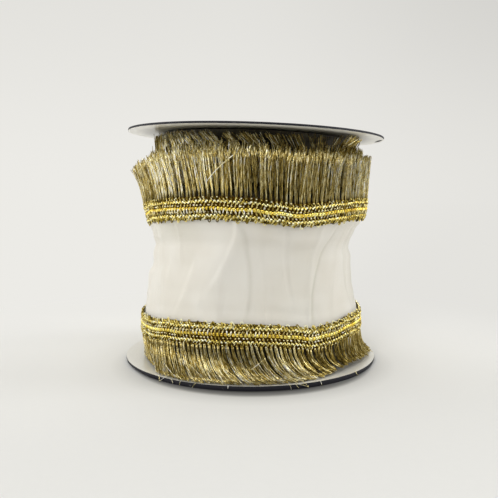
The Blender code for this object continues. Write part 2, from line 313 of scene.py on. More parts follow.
def tubes(
    paths: np.ndarray,
    radius: np.ndarray,
    sides: int,
    shade: np.ndarray,
    closed: bool = False,
    flat: float = 1.0,
) -> Shape:
    """Threads or cords along many paths, joined into one shape.

    Args:
        paths: Points in metres, as (path, point, xyz).
        radius: Radii in metres, which fit (path, point).
        sides: How many sides each thread has.
        shade: The tone of each path, or of each of its points.
        closed: Whether each path runs round to its own start, and has no ends.
        flat: The share of its width that a thread's thickness is.

    Returns:
        The joined shape, its faces outwards and its ends capped.
    """
    count, points = paths.shape[:2]
    side, front = ring_frames(paths, closed)
    angle = np.arange(sides) * math.tau / sides
    across = side[:, :, None, :] * np.cos(angle)[:, None]
    across = across + front[:, :, None, :] * np.sin(angle)[:, None] * flat
    radius = np.broadcast_to(radius, (count, points))
    verts = paths[:, :, None, :] + across * radius[:, :, None, None]
    number = np.arange(count * points * sides).reshape(count, points, sides)
    near = number if closed else number[:, :-1]
    far = np.roll(number, -1, axis=1) if closed else number[:, 1:]
    quads = np.stack([near, np.roll(near, -1, 2), np.roll(far, -1, 2), far], axis=-1)
    faces = [quads.reshape(-1, 4)]
    if not closed:
        faces += [number[:, 0, ::-1], number[:, -1]]
    tone = np.broadcast_to(shade.reshape(count, -1, 1), (count, points, sides))
    steps = np.linalg.norm(np.diff(paths, axis=1), axis=-1) / MM
    run = np.concatenate([np.zeros((count, 1)), np.cumsum(steps, axis=1)], axis=1)
    run = np.repeat(run + np.arange(count)[:, None] * OWN_START, sides)
    return Shape(verts.reshape(-1, 3), faces, tone.reshape(-1).copy(), run)


def bead_form(segments: int, rings: int) -> tuple[np.ndarray, np.ndarray]:
    """A unit ball, to be copied many times.

    Args:
        segments: How many faces it has round its equator.
        rings: How many it has from pole to pole.

    Returns:
        Its vertices and its triangles.
    """
    bm = bmesh.new()
    bmesh.ops.create_uvsphere(bm, u_segments=segments, v_segments=rings, radius=1.0)
    bmesh.ops.triangulate(bm, faces=bm.faces)
    verts = np.array([vert.co for vert in bm.verts])
    faces = np.array([[vert.index for vert in face.verts] for face in bm.faces])
    bm.free()
    return verts, faces


def revolve(points: Sequence[Pair], steps: int, closed: bool) -> bmesh.types.BMesh:
    """Turns an outline once round the Z axis.

    Args:
        points: The outline's radii and heights, in millimetres.
        steps: How many faces it has round the axis.
        closed: Whether the outline ends at its own start.

    Returns:
        A bmesh in metres, its doubles merged and its faces outwards.
    """
    bm = bmesh.new()
    verts = [bm.verts.new((radius * MM, 0.0, height * MM)) for radius, height in points]
    edges = [bm.edges.new(pair) for pair in zip(verts, verts[1:])]
    if closed:
        edges.append(bm.edges.new((verts[-1], verts[0])))
    bmesh.ops.spin(
        bm,
        geom=verts + edges,
        cent=(0.0, 0.0, 0.0),
        axis=(0.0, 0.0, 1.0),
        angle=math.tau,
        steps=steps,
        use_merge=True,
        use_duplicate=False,
    )
    bmesh.ops.remove_doubles(bm, verts=bm.verts, dist=SAME_PLACE)
    bmesh.ops.recalc_face_normals(bm, faces=bm.faces)
    return bm


@dataclass
class Number:
    """A shader socket that holds a number. Its operators add Math nodes."""

    dressing: "Dressing"
    socket: NodeSocket

    def maths(self, operation: str, *values: Any) -> "Number":
        """One Math node on these values, which are numbers or sockets."""
        inputs = {index: value for index, value in enumerate(values)}
        return self.dressing.node("ShaderNodeMath", {"operation": operation}, inputs).number(0)

    def __add__(self, other: Any) -> "Number":
        """The sum."""
        return self.maths("ADD", self, other)

    def __radd__(self, other: Any) -> "Number":
        """The sum, with the number first."""
        return self.maths("ADD", other, self)

    def __sub__(self, other: Any) -> "Number":
        """The difference."""
        return self.maths("SUBTRACT", self, other)

    def __rsub__(self, other: Any) -> "Number":
        """The difference, with the number first."""
        return self.maths("SUBTRACT", other, self)

    def __mul__(self, other: Any) -> "Number":
        """The product."""
        return self.maths("MULTIPLY", self, other)

    def __rmul__(self, other: Any) -> "Number":
        """The product, with the number first."""
        return self.maths("MULTIPLY", other, self)

    def __neg__(self) -> "Number":
        """The number with its sign turned."""
        return self.maths("SUBTRACT", 0.0, self)

    def sine(self) -> "Number":
        """The sine."""
        return self.maths("SINE", self)

    def over(self, low: float, high: float) -> "Number":
        """How far the number has come from one limit to the other, along an even curve.

        Args:
            low: The limit below which it is 0.
            high: The limit above which it is 1.

        Returns:
            The share, from 0 to 1.
        """
        inputs = {"Value": self, "From Min": low, "From Max": high}
        settings = {"interpolation_type": "SMOOTHSTEP"}
        return self.dressing.node("ShaderNodeMapRange", settings, inputs).number(0)

    def within(self, first: Pair, last: Pair) -> "Number":
        """0 outside a band with two soft edges, and 1 inside."""
        return self.over(*first) * (1.0 - self.over(*last))


@dataclass
class Built:
    """A node of a material that has just been made."""

    dressing: "Dressing"
    node: Node

    def number(self, output: int | str) -> Number:
        """One output as a number."""
        return Number(self.dressing, self.node.outputs[output])

    def out(self, output: int | str) -> NodeSocket:
        """One output as a bare socket, for colours, vectors and shaders."""
        return self.node.outputs[output]


@dataclass
class Dressing:
    """Builds the nodes of one material, world or light.

    Attributes:
        tree: The node tree that is filled.
    """

    tree: NodeTree

    def node(self, kind: str, settings: dict[str, Any], inputs: dict[Any, Any]) -> Built:
        """Adds one node.

        Args:
            kind: The node's type.
            settings: Its own properties, set before its sockets. Ramp stops go under "stops".
            inputs: Values or links by socket name or number.

        Returns:
            The new node.
        """
        node = self.tree.nodes.new(kind)
        for name, value in settings.items():
            if name == "stops":
                self.set_stops(node.color_ramp, value)
            else:
                setattr(node, name, value)
        for name, value in inputs.items():
            if isinstance(value, Number):
                value = value.socket
            if isinstance(value, NodeSocket):
                self.tree.links.new(value, node.inputs[name])
            else:
                node.inputs[name].default_value = value
        return Built(self, node)

    def set_stops(self, ramp: ColorRamp, stops: Sequence[tuple[float, Color]]) -> None:
        """Gives a colour ramp its stops.

        Args:
            ramp: The ramp, which has two stops so far.
            stops: Positions and colours.
        """
        while len(ramp.elements) < len(stops):
            ramp.elements.new(0.5)
        for element, (position, color) in zip(ramp.elements, stops):
            element.position = position
            element.color = (*color, 1.0)

    def ramp(self, value: Number, stops: Sequence[tuple[float, Color]]) -> NodeSocket:
        """A colour that is read off a ramp."""
        return self.node("ShaderNodeValToRGB", {"stops": stops}, {"Fac": value}).out("Color")

    def mix(self, share: Any, first: Any, second: Any) -> NodeSocket:
        """The first colour going over to the second.

        Args:
            share: How much of the second there is, from 0 to 1.
            first: A colour or a link to one.
            second: Another.

        Returns:
            The mixed colour.
        """
        colors = [(*value, 1.0) if isinstance(value, tuple) else value for value in (first, second)]
        inputs = {0: share, 6: colors[0], 7: colors[1]}
        return self.node("ShaderNodeMix", {"data_type": "RGBA"}, inputs).out(2)

    def place(self) -> NodeSocket:
        """The point in the part's own metres."""
        return self.node("ShaderNodeTexCoord", {}, {}).out("Object")

    def noise(self, vector: Any, per_mm: float, detail: float = 2.0) -> Number:
        """Even noise from 0 to 1, with so many grains a millimetre."""
        inputs = {"Vector": vector, "Scale": per_mm / MM, "Detail": detail}
        return self.node("ShaderNodeTexNoise", {}, inputs).number(0)

    def noise_along(self, run: Number, per_mm: float) -> Number:
        """Noise from 0 to 1 along a thread, with so many grains a millimetre."""
        inputs = {"W": run, "Scale": per_mm, "Detail": 1.0}
        return self.node("ShaderNodeTexNoise", {"noise_dimensions": "1D"}, inputs).number(0)

    def times(self, first: Any, second: Any) -> NodeSocket:
        """Two vectors or colours, multiplied part by part."""
        inputs = {0: first, 1: second}
        return self.node("ShaderNodeVectorMath", {"operation": "MULTIPLY"}, inputs).out(0)

    def grey(self, level: Number) -> NodeSocket:
        """A grey of this level, or a vector with three such parts."""
        return self.node("ShaderNodeCombineXYZ", {}, {0: level, 1: level, 2: level}).out(0)

    def parts(self, vector: Any) -> tuple[Number, ...]:
        """The x, y and z of a vector."""
        split = self.node("ShaderNodeSeparateXYZ", {}, {0: vector})
        return tuple(split.number(index) for index in range(3))

    def length(self, vector: Any) -> Number:
        """The length of a vector."""
        settings = {"operation": "LENGTH"}
        return self.node("ShaderNodeVectorMath", settings, {0: vector}).number("Value")

    def moved(self, vector: Any, step: Point) -> NodeSocket:
        """The vector with this step added."""
        return self.node("ShaderNodeMapping", {}, {"Vector": vector, "Location": step}).out(0)

    def attribute(self, name: str) -> Number:
        """A number that the mesh holds."""
        return self.node("ShaderNodeAttribute", {"attribute_name": name}, {}).number("Fac")

    def bump(self, height: Number, depth_mm: float) -> NodeSocket:
        """A normal bent by a relief of this depth."""
        inputs = {"Height": height, "Distance": depth_mm * MM, "Strength": 1.0}
        return self.node("ShaderNodeBump", {}, inputs).out("Normal")

    def surface(self, inputs: dict[str, Any]) -> None:
        """A Principled surface with these sockets, joined to the output."""
        self.finish(self.node("ShaderNodeBsdfPrincipled", {}, inputs).out(0))

    def finish(self, shader: NodeSocket) -> None:
        """Joins a shader to the material's output."""
        self.node("ShaderNodeOutputMaterial", {}, {"Surface": shader})


def new_material(name: str) -> tuple[Material, Dressing]:
    """An empty material and what fills it.

    Args:
        name: The material's name.

    Returns:
        The material and the dressing of its tree.
    """
    material = bpy.data.materials.new(name)
    material.use_nodes = True
    material.node_tree.nodes.clear()
    return material, Dressing(material.node_tree)


@dataclass(frozen=True)
class MetalThread:
    """Thread wrapped in thin metal foil: its tone differs by thread and glints along it.

    Attributes:
        name: The material's name.
        dark: The tone of the dullest stretches.
        middle: The common tone.
        light: The tone of bright stretches.
        glint: The tone of the few brightest spots.
        roughness: The foil's mean roughness.
        grains_per_mm: How many glints it has a millimetre.
        relief_mm: The depth of the wrapped foil's ridges.
        metallic: How metallic it is.
        coat: The weight of its clear coat, which glints white.
        own_tone: The share of its tone that is each thread's own.
        edge: The tint of the light that it mirrors at a grazing angle.
        stops_at: Where on the ramp its four tones stand.
        grain_span: The noise values between which a glint goes from dark to bright.
        wraps_per_mm: How many wraps of its foil show in relief a millimetre.
        roughness_spread: How much rougher a glint can be than a dull stretch.
        coat_roughness: The roughness of its coat.
    """

    name: str
    dark: Color
    middle: Color
    light: Color
    glint: Color
    roughness: float
    grains_per_mm: float = 0.9
    relief_mm: float = 0.08
    metallic: float = 0.95
    coat: float = 0.3
    own_tone: float = 0.6
    edge: Color = (0.95, 0.85, 0.55)
    stops_at: tuple[float, ...] = (0.1, 0.45, 0.75, 0.95)
    grain_span: Pair = (0.3, 0.7)
    wraps_per_mm: float = 2.4
    roughness_spread: float = 0.3
    coat_roughness: float = 0.15

    def material(self) -> Material:
        """The finish as a node material."""
        material, dress = new_material(self.name)
        grain = dress.noise_along(dress.attribute("run"), self.grains_per_mm)
        tone = dress.attribute("shade") * self.own_tone
        tone = tone + grain.over(*self.grain_span) * (1.0 - self.own_tone)
        stops = list(zip(self.stops_at, (self.dark, self.middle, self.light, self.glint)))
        wraps = dress.noise(dress.place(), self.wraps_per_mm, 0.0)
        dress.surface(
            {
                "Base Color": dress.ramp(tone, stops),
                "Metallic": self.metallic,
                "Roughness": self.roughness + self.roughness_spread * (grain - 0.5),
                "Specular Tint": (*self.edge, 1.0),
                "Coat Weight": self.coat,
                "Coat Roughness": self.coat_roughness,
                "Normal": dress.bump(wraps, self.relief_mm),
            }
        )
        return material


@dataclass(frozen=True)
class RibbonCloth:
    """Fine plain cloth, warm white, with its weave in relief.

    Attributes:
        name: The material's name.
        color: Its common tone.
        shadow: The tone of its duller clouds.
        crease: The colour of painted shade, laid along creases and over shaded patches.
        thread_mm: How far apart the threads of its weave lie.
        roughness: Its mean roughness.
        roughness_spread: How much the slubs change it.
        sheen: The weight of its sheen.
        sheen_roughness: How widely the sheen spreads.
        slubs_relief: How far the slubs stand out against the weave.
        relief_mm: The depth of the weave.
    """

    name: str = "ribbon_cloth"
    color: Color = (0.81, 0.785, 0.72)
    shadow: Color = (0.765, 0.73, 0.65)
    crease: Color = (0.58, 0.56, 0.47)
    thread_mm: float = 0.32
    roughness: float = 0.78
    roughness_spread: float = 0.12
    sheen: float = 0.25
    sheen_roughness: float = 0.4
    slubs_relief: float = 1.6
    relief_mm: float = 0.03

    def material(self) -> Material:
        """The finish as a node material."""
        material, dress = new_material(self.name)
        chart = dress.node("ShaderNodeUVMap", {"uv_map": "cloth"}, {}).out(0)
        across, along, _ = dress.parts(chart)
        turn = math.tau / (self.thread_mm * MM)
        weave = (across * turn).sine() * (along * turn).sine()
        slubs = dress.noise(dress.times(chart, (6.0, 1.0, 1.0)), 0.12, 3.0)
        clouds = dress.noise(dress.place(), 0.05)
        color = dress.mix(clouds.over(0.3, 0.75), self.color, self.shadow)
        dress.surface(
            {
                # Painted shade: the mesh's shade attribute pulls the colour towards the crease colour.
                "Base Color": dress.mix(dress.attribute("shade"), color, self.crease),
                "Roughness": self.roughness + self.roughness_spread * (slubs - 0.5),
                "Sheen Weight": self.sheen,
                "Sheen Roughness": self.sheen_roughness,
                "Normal": dress.bump(weave + self.slubs_relief * slubs, self.relief_mm),
            }
        )
        return material


@dataclass(frozen=True)
class SpoolCard:
    """Card of the spool: pale and smooth inside, with a stain on one disc, and near black outside.

    Attributes:
        centre: What moves the disc's middle to the origin, in metres.
        rim: The disc's radius, in millimetres.
        shade: How much painted shade and reflection of the threads darken its inner face, from 0 to 1.
        pale: The inner face's own colour.
        mark: The x and y of a small dark stain on the inner face, in millimetres, or None.
        dark: The colour of the outer face and the edge.
        worn: The colour of the worn spots of the edge.
        painted_shade_color: The colour of the painted shade and reflection of the threads.
        spot_shares: The share of the pale colour that is left in the card's soft spots.
        shade_mm: The radii between which the painted shade fades.
        wear_mm: How far inside the rim the wear sets in, and where it is full.
        mark_mm: Half the stain's width, at its full tone and at its edge.
        mark_stretch: Its width as a share of its length.
    """

    centre: Point
    rim: float
    shade: float
    pale: Color
    mark: Pair | None
    dark: Color = (0.02, 0.02, 0.026)
    worn: Color = (0.2, 0.195, 0.18)
    painted_shade_color: Color = (0.12, 0.11, 0.06)
    spot_shares: Color = (0.92, 0.915, 0.9)
    shade_mm: Pair = (45.0, 54.0)
    wear_mm: Pair = (0.8, 0.1)
    mark_mm: Pair = (0.5, 1.3)
    mark_stretch: float = 0.13

    def from_middle(self, dress: Dressing) -> Number:
        """The distance from the disc's middle, in metres."""
        return dress.length(dress.times(dress.moved(dress.place(), self.centre), (1.0, 1.0, 0.0)))

    def stain(self, dress: Dressing) -> Number | float:
        """The small stain of one disc.

        Args:
            dress: What fills the tree.

        Returns:
            How dark it is at each point, from 0 to 1.
        """
        if not self.mark:
            return 0.0
        step = (-self.mark[0] * MM, -self.mark[1] * MM, 0.0)
        away = dress.times(dress.moved(dress.place(), step), (1.0, self.mark_stretch, 0.0))
        return 1.0 - dress.length(away).over(*(radius * MM for radius in self.mark_mm))

    def inner(self, name: str) -> Material:
        """The bare card of the inner face, darkened towards the middle by painted shade of the threads.

        Args:
            name: The material's name.

        Returns:
            The finish as a node material.
        """
        material, dress = new_material(name)
        fibres = dress.noise(dress.place(), 1.1, 4.0)
        clouds = dress.noise(dress.place(), 0.08)
        spots = fibres.over(0.35, 0.75) * clouds.over(0.25, 0.7)
        spotted = tuple(channel * share for channel, share in zip(self.pale, self.spot_shares))
        color = dress.mix(spots, self.pale, spotted)
        # Painted shade and reflection of the dark threads, darker towards the disc's middle.
        tint = 1.0 - self.from_middle(dress).over(*(radius * MM for radius in self.shade_mm))
        color = dress.mix(tint * self.shade, color, self.painted_shade_color)
        stain = self.stain(dress)
        dress.surface(
            {
                "Base Color": dress.mix(stain, color, self.dark) if self.mark else color,
                "Roughness": 0.42 + 0.12 * fibres + 0.45 * stain,
                "Coat Weight": 1.0 - stain,
                "Coat Roughness": 0.28,
                "Normal": dress.bump(fibres, 0.02),
            }
        )
        return material

    def outer(self, name: str) -> Material:
        """The dark coated face and edge, worn pale in a few spots along the rim.

        Args:
            name: The material's name.

        Returns:
            The finish as a node material.
        """
        material, dress = new_material(name)
        near_rim = self.from_middle(dress).over(*((self.rim - inset) * MM for inset in self.wear_mm))
        spots = dress.noise(dress.place(), 0.3, 3.0)
        grain = dress.noise(dress.place(), 2.0)
        dress.surface(
            {
                "Base Color": dress.mix(near_rim * spots.over(0.68, 0.78), self.dark, self.worn),
                "Roughness": 0.6 + 0.2 * (grain - 0.5),
                "Specular IOR Level": 0.2,
                "Normal": dress.bump(grain, 0.01),
            }
        )
        return material


@dataclass(frozen=True)
class WoundEdges:
    """The close edges of the inner turns, seen deep between the threads, coloured near black as painted
    shade.

    Attributes:
        name: The material's name.
        dark: The common tone, near black, painted shade for the deep gaps between the threads.
        light: The tone of its few bright streaks.
    """

    name: str = "wound_edges"
    dark: Color = (0.022, 0.017, 0.006)
    light: Color = (0.12, 0.1, 0.04)

    def material(self) -> Material:
        """The finish as a node material."""
        material, dress = new_material(self.name)
        streaks = dress.noise(dress.times(dress.place(), (1.0, 1.0, 0.12)), 2.2)
        dress.surface(
            {
                "Base Color": dress.mix(streaks.over(0.45, 0.8), self.dark, self.light),
                "Metallic": 0.4,
                "Roughness": 0.6 - 0.2 * streaks,
                "Normal": dress.bump(streaks, 0.3),
            }
        )
        return material


def add_piece(
    name: str,
    mesh: Mesh,
    materials: Sequence[Material],
    replaces: Sequence[str] = (),
) -> Object:
    """Puts a finished mesh in the scene as a piece of the part.

    Args:
        name: The piece's name.
        mesh: Its mesh, in place.
        materials: Its finishes, in the order of their numbers on its faces.
        replaces: The CAD nodes that it stands for.

    Returns:
        The piece, which rides on the part's one body.
    """
    for material in materials:
        mesh.materials.append(material)
    piece = bpy.data.objects.new(name, mesh)
    bpy.context.scene.collection.objects.link(piece)
    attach(piece, "root")
    if replaces:
        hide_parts(*replaces)
    triangles = sum(len(polygon.vertices) - 2 for polygon in mesh.polygons)
    LOG.info("%s: %d triangles", name, triangles)
    return piece


def mesh_of(bm: bmesh.types.BMesh, name: str, sharp_degrees: float = 40.0) -> Mesh:
    """A smooth shaded mesh of a bmesh.

    Args:
        bm: The bmesh, which is freed.
        name: The mesh's name.
        sharp_degrees: The angle past which an edge stays sharp.

    Returns:
        The new mesh.
    """
    mesh = bpy.data.meshes.new(name)
    bm.to_mesh(mesh)
    bm.free()
    mesh.shade_smooth()
    mesh.set_sharp_from_angle(angle=math.radians(sharp_degrees))
    return mesh


class ShadeLip(NamedTuple):
    """How far the lower flange's dark edge hangs at an azimuth in degrees, in millimetres, standing for
    the shade under its rim.
    """

    azimuth: float
    depth: float


@dataclass(frozen=True)
class Flange:
    """A card disc of the spool, in millimetres.

    Attributes:
        name: The piece's name.
        node: The CAD node that it stands for.
        height: The height of its lower face's middle.
        rise: How far its rim bows up.
        tilt: How far it leans, in radians, the left side up.
        inner_is_up: Whether its upper face is the inner one.
        radius: Its radius.
        slip: How far it has slipped to the right of the wound axis.
        shade: How much painted shade and reflection of the threads darken its inner face, from 0 to 1.
        pale: The colour of its inner face.
        mark: The x and y of a small dark stain on its inner face, or None.
        shade_lips: How far its dark edge reaches below the card, by azimuth, a dark sheet for the shade
            under the rim.
        flat_radius: Where its rim starts to bow.
        rings: The radii of the rings of faces inside that.
        card: Its thickness.
        lip_root: How far inside the rim the dark edge leaves the card.
        lip_width: How wide its lower end is.
        rounding: The rounding of its rim.
        steps: How many faces it has round its rim.
    """

    name: str
    node: str
    height: float
    rise: float
    tilt: float
    inner_is_up: bool
    radius: float
    slip: float = 0.0
    shade: float = 0.0
    pale: Color = (0.77, 0.755, 0.69)
    mark: Pair | None = None
    shade_lips: tuple[ShadeLip, ...] = ()
    flat_radius: float = 44.0
    rings: tuple[float, ...] = (0.0, 15.0, 30.0)
    card: float = 0.9
    lip_root: float = 1.2
    lip_width: float = 0.9
    rounding: float = 0.12
    steps: int = 240

    def outline(self) -> list[Pair]:
        """Half the disc's section, from its lower centre to its upper one."""
        under = [(radius, 0.0) for radius in (*self.rings, self.flat_radius)]
        under.append(((self.flat_radius + self.radius) / 2, self.rise / 4))
        under.append((self.radius, self.rise))
        over = [(radius, height + self.card) for radius, height in reversed(under)]
        # The card's own dark edge, drawn down to the floor to stand for the shade under the rim.
        if self.shade_lips:
            under[-1:] = [
                (self.radius - self.lip_root, self.rise * 0.8),
                (self.radius - self.lip_width, 0.0),
                (self.radius, 0.0),
            ]
        return under + over

    def hang_shade_lip(self, bm: bmesh.types.BMesh) -> None:
        """Lets the dark edge hang lower or less low round the rim, a dark sheet for the shade under it.

        Args:
            bm: The disc, its middle at the origin.
        """
        rise = self.rise * MM
        for vert in bm.verts:
            if vert.co.xy.length > (self.radius - 1.0) * MM and vert.co.z < rise:
                degrees = math.degrees(math.atan2(vert.co.x, -vert.co.y))
                depth = float(eased(self.shade_lips, "azimuth", "depth", np.array(degrees)))
                vert.co.z = rise - (rise - vert.co.z) * depth / self.rise

    def top(self, radius: np.ndarray) -> np.ndarray:
        """The height of an untilted disc's upper face at each radius, in millimetres."""
        radii = (self.flat_radius, (self.flat_radius + self.radius) / 2, self.radius)
        return self.height + self.card + np.interp(radius, radii, (0.0, self.rise / 4, self.rise))

    def build(self) -> Object:
        """The dressed disc."""
        bm = revolve(self.outline(), self.steps, closed=False)
        near = 0.01 * MM
        rim = [
            edge
            for edge in bm.edges
            if all(vert.co.xy.length > self.radius * MM - near for vert in edge.verts)
            and abs(edge.verts[0].co.z - edge.verts[1].co.z) < near
        ]
        bmesh.ops.bevel(
            bm,
            geom=rim,
            offset=self.rounding * MM,
            offset_type="OFFSET",
            segments=2,
            profile=0.5,
            affect="EDGES",
            material=-1,
        )
        if self.shade_lips:
            self.hang_shade_lip(bm)
        bm.normal_update()
        inward = 1.0 if self.inner_is_up else -1.0
        for face in bm.faces:
            face.material_index = 0 if face.normal.z * inward > 0.8 else 1
        x, y = (float(part) * MM for part in WINDING.middle(np.array(self.height)))
        x += self.slip * MM
        place = Matrix.Translation((x, y, self.height * MM)) @ Matrix.Rotation(self.tilt, 4, "Y")
        bmesh.ops.transform(bm, matrix=place, verts=bm.verts)
        card = SpoolCard((-x, -y, 0.0), self.radius, self.shade, self.pale, self.mark)
        finishes = [card.inner(self.name + "_inner"), card.outer(self.name + "_outer")]
        return add_piece(self.name, mesh_of(bm, self.name), finishes, [self.node])


class Pleat(NamedTuple):
    """A soft ridge of the cloth, or a crease where its height is under 0.

    Azimuths in degrees at its upper and its lower end, and how far it bows to the right between them,
    the rest in millimetres. Its right flank is skew times as wide as its left one, and the shade says
    how much painted shade darkens the cloth along it, from 0 to 1; rows of height 0 only paint shade.
    """

    upper_azimuth: float
    lower_azimuth: float
    top: float
    bottom: float
    height: float
    width: float
    skew: float = 1.0
    bow: float = 0.0
    shade: float = 0.0


class SkinPoint(NamedTuple):
    """A point of the cloth's outline, in millimetres."""

    radius: float
    height: float


@dataclass(frozen=True)
class OuterTurn:
    """The ribbon's outer turn of cloth: a thin sheet, waisted between its braids.

    Attributes:
        skin: Its outline on the straight roll.
        pleats: The creases that the photograph shows, wide ones at the sides and the back, and rows of
            height 0 that only lay painted shade.
        fine_pleats: Slight ones between them.
        fine_gain: How much deeper the slight ones are made.
        rows: How many points its outline is cut into.
        steps: How many faces it has round the roll.
        thickness: Its thickness, in millimetres.
        pleat_fade: How far past a pleat's ends it fades, and how far inside, as shares of its length.
        pleat_radius: The radius at which the widths of the pleats hold.
        chart_radius: The radius at which the weave has its true width.
        flat_width: The width of the cloth between its trims, and under them, when cut.
        flat_length: The length of the outer turn.
    """

    skin: tuple[SkinPoint, ...] = table(
        SkinPoint,
        (48.3, 16.6), (49.0, 19.0), (49.3, 21.4), (48.55, 25.0), (47.5, 30.0), (46.5, 37.0),
        (45.8, 46.0), (46.0, 54.0), (47.15, 59.5), (48.4, 63.4), (49.2, 67.6), (49.5, 71.8),
    )
    pleats: tuple[Pleat, ...] = table(
        Pleat,
        (-9, -43, 60, 25, 0.5, 6.0, 1.5), (-9.5, -20, 67, 36, 0.75, 1.0, 5.0, 4.5),
        (-13, -27, 54, 26, 0.8, 3.4, 3.0), (-28, -40, 48, 24, 0.65, 1.4, 4.0, 1.0),
        (-42, -38, 65, 46, 0.35, 0.7, 1.6), (-44, -50, 53, 25, 0.4, 1.8, 3.0),
        (-58, -62, 65, 25, 0.45, 2.0, 3.0), (-8, -3, 64, 23, -0.6, 0.8, 5.0, 5.5, 0.3),
        (4, 8, 57, 27, -0.25, 0.8, 4.0, 1.0, 0.1), (47, 31, 64, 22, -0.75, 1.0, 5.0, -3.5, 0.5),
        (54, 44, 58, 24, 0.45, 1.4, 3.0), (63, 67, 62, 24, -0.5, 1.1, 3.0, -4.0, 0.25),
        (-50, -44, 76, 56, 0.0, 15.0, 1.0, 0.0, 0.5), (82, 80, 68, 22, 0.0, 9.0, 1.0, 0.0, 0.6),
        (28, 25, 56, 18, 0.0, 8.0, 1.0, 0.0, 0.2), (-14, -17, 50, 18, 0.9, 11.0, 0.15),
        (-84, -84, 56.5, 43.5, -1.7, 24.0), (82, 82, 61, 49, -1.5, 24.0),
        (22, 14, 62, 30, 0.5, 5.0), (-70, -62, 60, 26, -0.7, 5.0), (92, 99, 64, 25, -0.8, 4.5),
        (124, 112, 60, 26, 0.9, 5.0), (150, 158, 64, 30, -0.7, 4.5), (-172, 178, 58, 24, 0.8, 5.0),
        (-146, -152, 64, 28, -0.9, 4.5), (-118, -104, 60, 25, 0.7, 5.0),
        (-86, -86, 76, 54, -1.2, 14.0),
    )
    fine_pleats: tuple[Pleat, ...] = table(
        Pleat,
        (-56, -52, 64, 24, 0.2, 1.1), (-64, -60, 66, 30, -0.22, 0.9), (34, 29, 64, 24, 0.2, 1.2),
        (14, 20, 66, 34, -0.14, 0.9), (66, 63, 64, 26, 0.18, 1.2), (8, 6, 40, 23, 0.12, 1.0),
        (80, 84, 66, 26, -0.2, 1.0), (104, 98, 60, 24, 0.2, 1.2), (132, 128, 66, 30, -0.2, 0.9),
        (166, 160, 62, 24, 0.22, 1.2), (-166, -170, 66, 32, -0.2, 1.0),
        (-136, -128, 60, 26, 0.2, 1.1), (-96, -90, 66, 26, -0.2, 0.9), (-82, -86, 56, 24, 0.2, 1.2),
    )
    fine_gain: float = 1.8
    rows: int = 40
    steps: int = 540
    thickness: float = 0.25
    pleat_fade: Pair = (-0.15, 0.2)
    pleat_radius: float = 44.0
    chart_radius: float = 47.0
    flat_width: float = 56.0
    flat_length: float = 299.0

    def relief(self, azimuth: np.ndarray, height: np.ndarray) -> tuple[np.ndarray, np.ndarray]:
        """What the pleats do to each point of the cloth.

        Args:
            azimuth: Angles from the front, in radians.
            height: Heights, in millimetres.

        Returns:
            How far they push it out, in millimetres, and how much painted shade they lay on it.
        """
        total = np.zeros_like(azimuth)
        shade = np.zeros_like(azimuth)
        fine = (pleat._replace(height=pleat.height * self.fine_gain) for pleat in self.fine_pleats)
        for pleat in (*self.pleats, *fine):
            share = (pleat.top - height) / (pleat.top - pleat.bottom)
            turn = (pleat.lower_azimuth - pleat.upper_azimuth + 180.0) % 360.0 - 180.0
            bow = pleat.bow * 4.0 * share * (1.0 - share)
            middle = np.radians(pleat.upper_azimuth + turn * share + bow)
            around = (azimuth - middle + math.pi) % math.tau - math.pi
            away = around * self.pleat_radius / pleat.width
            flank = away / np.where(around > 0.0, pleat.skew, 1.0)
            ends = smooth_step(*self.pleat_fade, share) * smooth_step(*self.pleat_fade, 1.0 - share)
            total += pleat.height * ends * np.exp(-flank * flank)
            # Painted shade along the pleat, which the cloth's material reads.
            shade += pleat.shade * ends * np.exp(-away * away)
        return total, shade

    def build(self) -> Object:
        """The dressed cloth."""
        heights = np.linspace(self.skin[0].height, self.skin[-1].height, self.rows)
        radii = eased(self.skin, "height", "radius", heights)
        bm = revolve(list(zip(radii, heights)), self.steps, closed=False)
        chart = bm.loops.layers.uv.new("cloth")
        for face in bm.faces:
            middle = face.calc_center_median()
            around = math.atan2(middle.x, -middle.y)
            for loop in face.loops:
                point = loop.vert.co
                azimuth = around + math.remainder(math.atan2(point.x, -point.y) - around, math.tau)
                loop[chart].uv = (azimuth * self.chart_radius * MM, point.z)
        points = np.array([vert.co for vert in bm.verts]) / MM
        azimuth = np.arctan2(points[:, 0], -points[:, 1])
        relief, shade = self.relief(azimuth, points[:, 2])
        radius = np.hypot(points[:, 0], points[:, 1]) + relief
        # The pleats' painted shade, kept on the vertices for the material.
        layer = bm.verts.layers.float.new("shade")
        for vert, place, tone in zip(bm.verts, WINDING.place(azimuth, radius, points[:, 2]), shade):
            vert.co = place
            vert[layer] = tone
        bmesh.ops.recalc_face_normals(bm, faces=bm.faces)
        bmesh.ops.solidify(bm, geom=list(bm.faces), thickness=self.thickness * MM)
        mesh = mesh_of(bm, "outer_turn_cloth", 70.0)
        return add_piece(
            "outer_turn_cloth", mesh, [RibbonCloth().material()], ["ribbon_roll"]
        )


@dataclass(frozen=True)
class InnerTurns:
    """The wound turns under the outer one: only their edges show, deep between the threads.

    Attributes:
        name: The piece's name.
        steps: How many faces it has round the roll.
        outline: Half its section on the straight roll, without its middle.
    """

    name: str = "inner_turns"
    steps: int = 180
    outline: tuple[SkinPoint, ...] = table(
        SkinPoint,
        (43.0, 1.3), (44.6, 7.0), (45.6, 12.5), (46.6, 18.0), (45.2, 28.0), (42.0, 44.0),
        (42.0, 56.0), (44.6, 62.0), (45.6, 73.0), (44.4, 75.6), (43.2, 77.2), (42.4, 83.0),
        (41.8, 90.0), (41.2, 100.2),
    )

    def build(self) -> Object:
        """The dressed pack of turns."""
        rows = [(point.radius, point.height) for point in self.outline]
        outline = [(0.0, rows[0][1])] + rows + [(0.0, rows[-1][1])]
        bm = revolve(outline, self.steps, closed=False)
        WINDING.set_bmesh(bm)
        return add_piece(
            self.name, mesh_of(bm, self.name, 60.0), [WoundEdges().material()]
        )


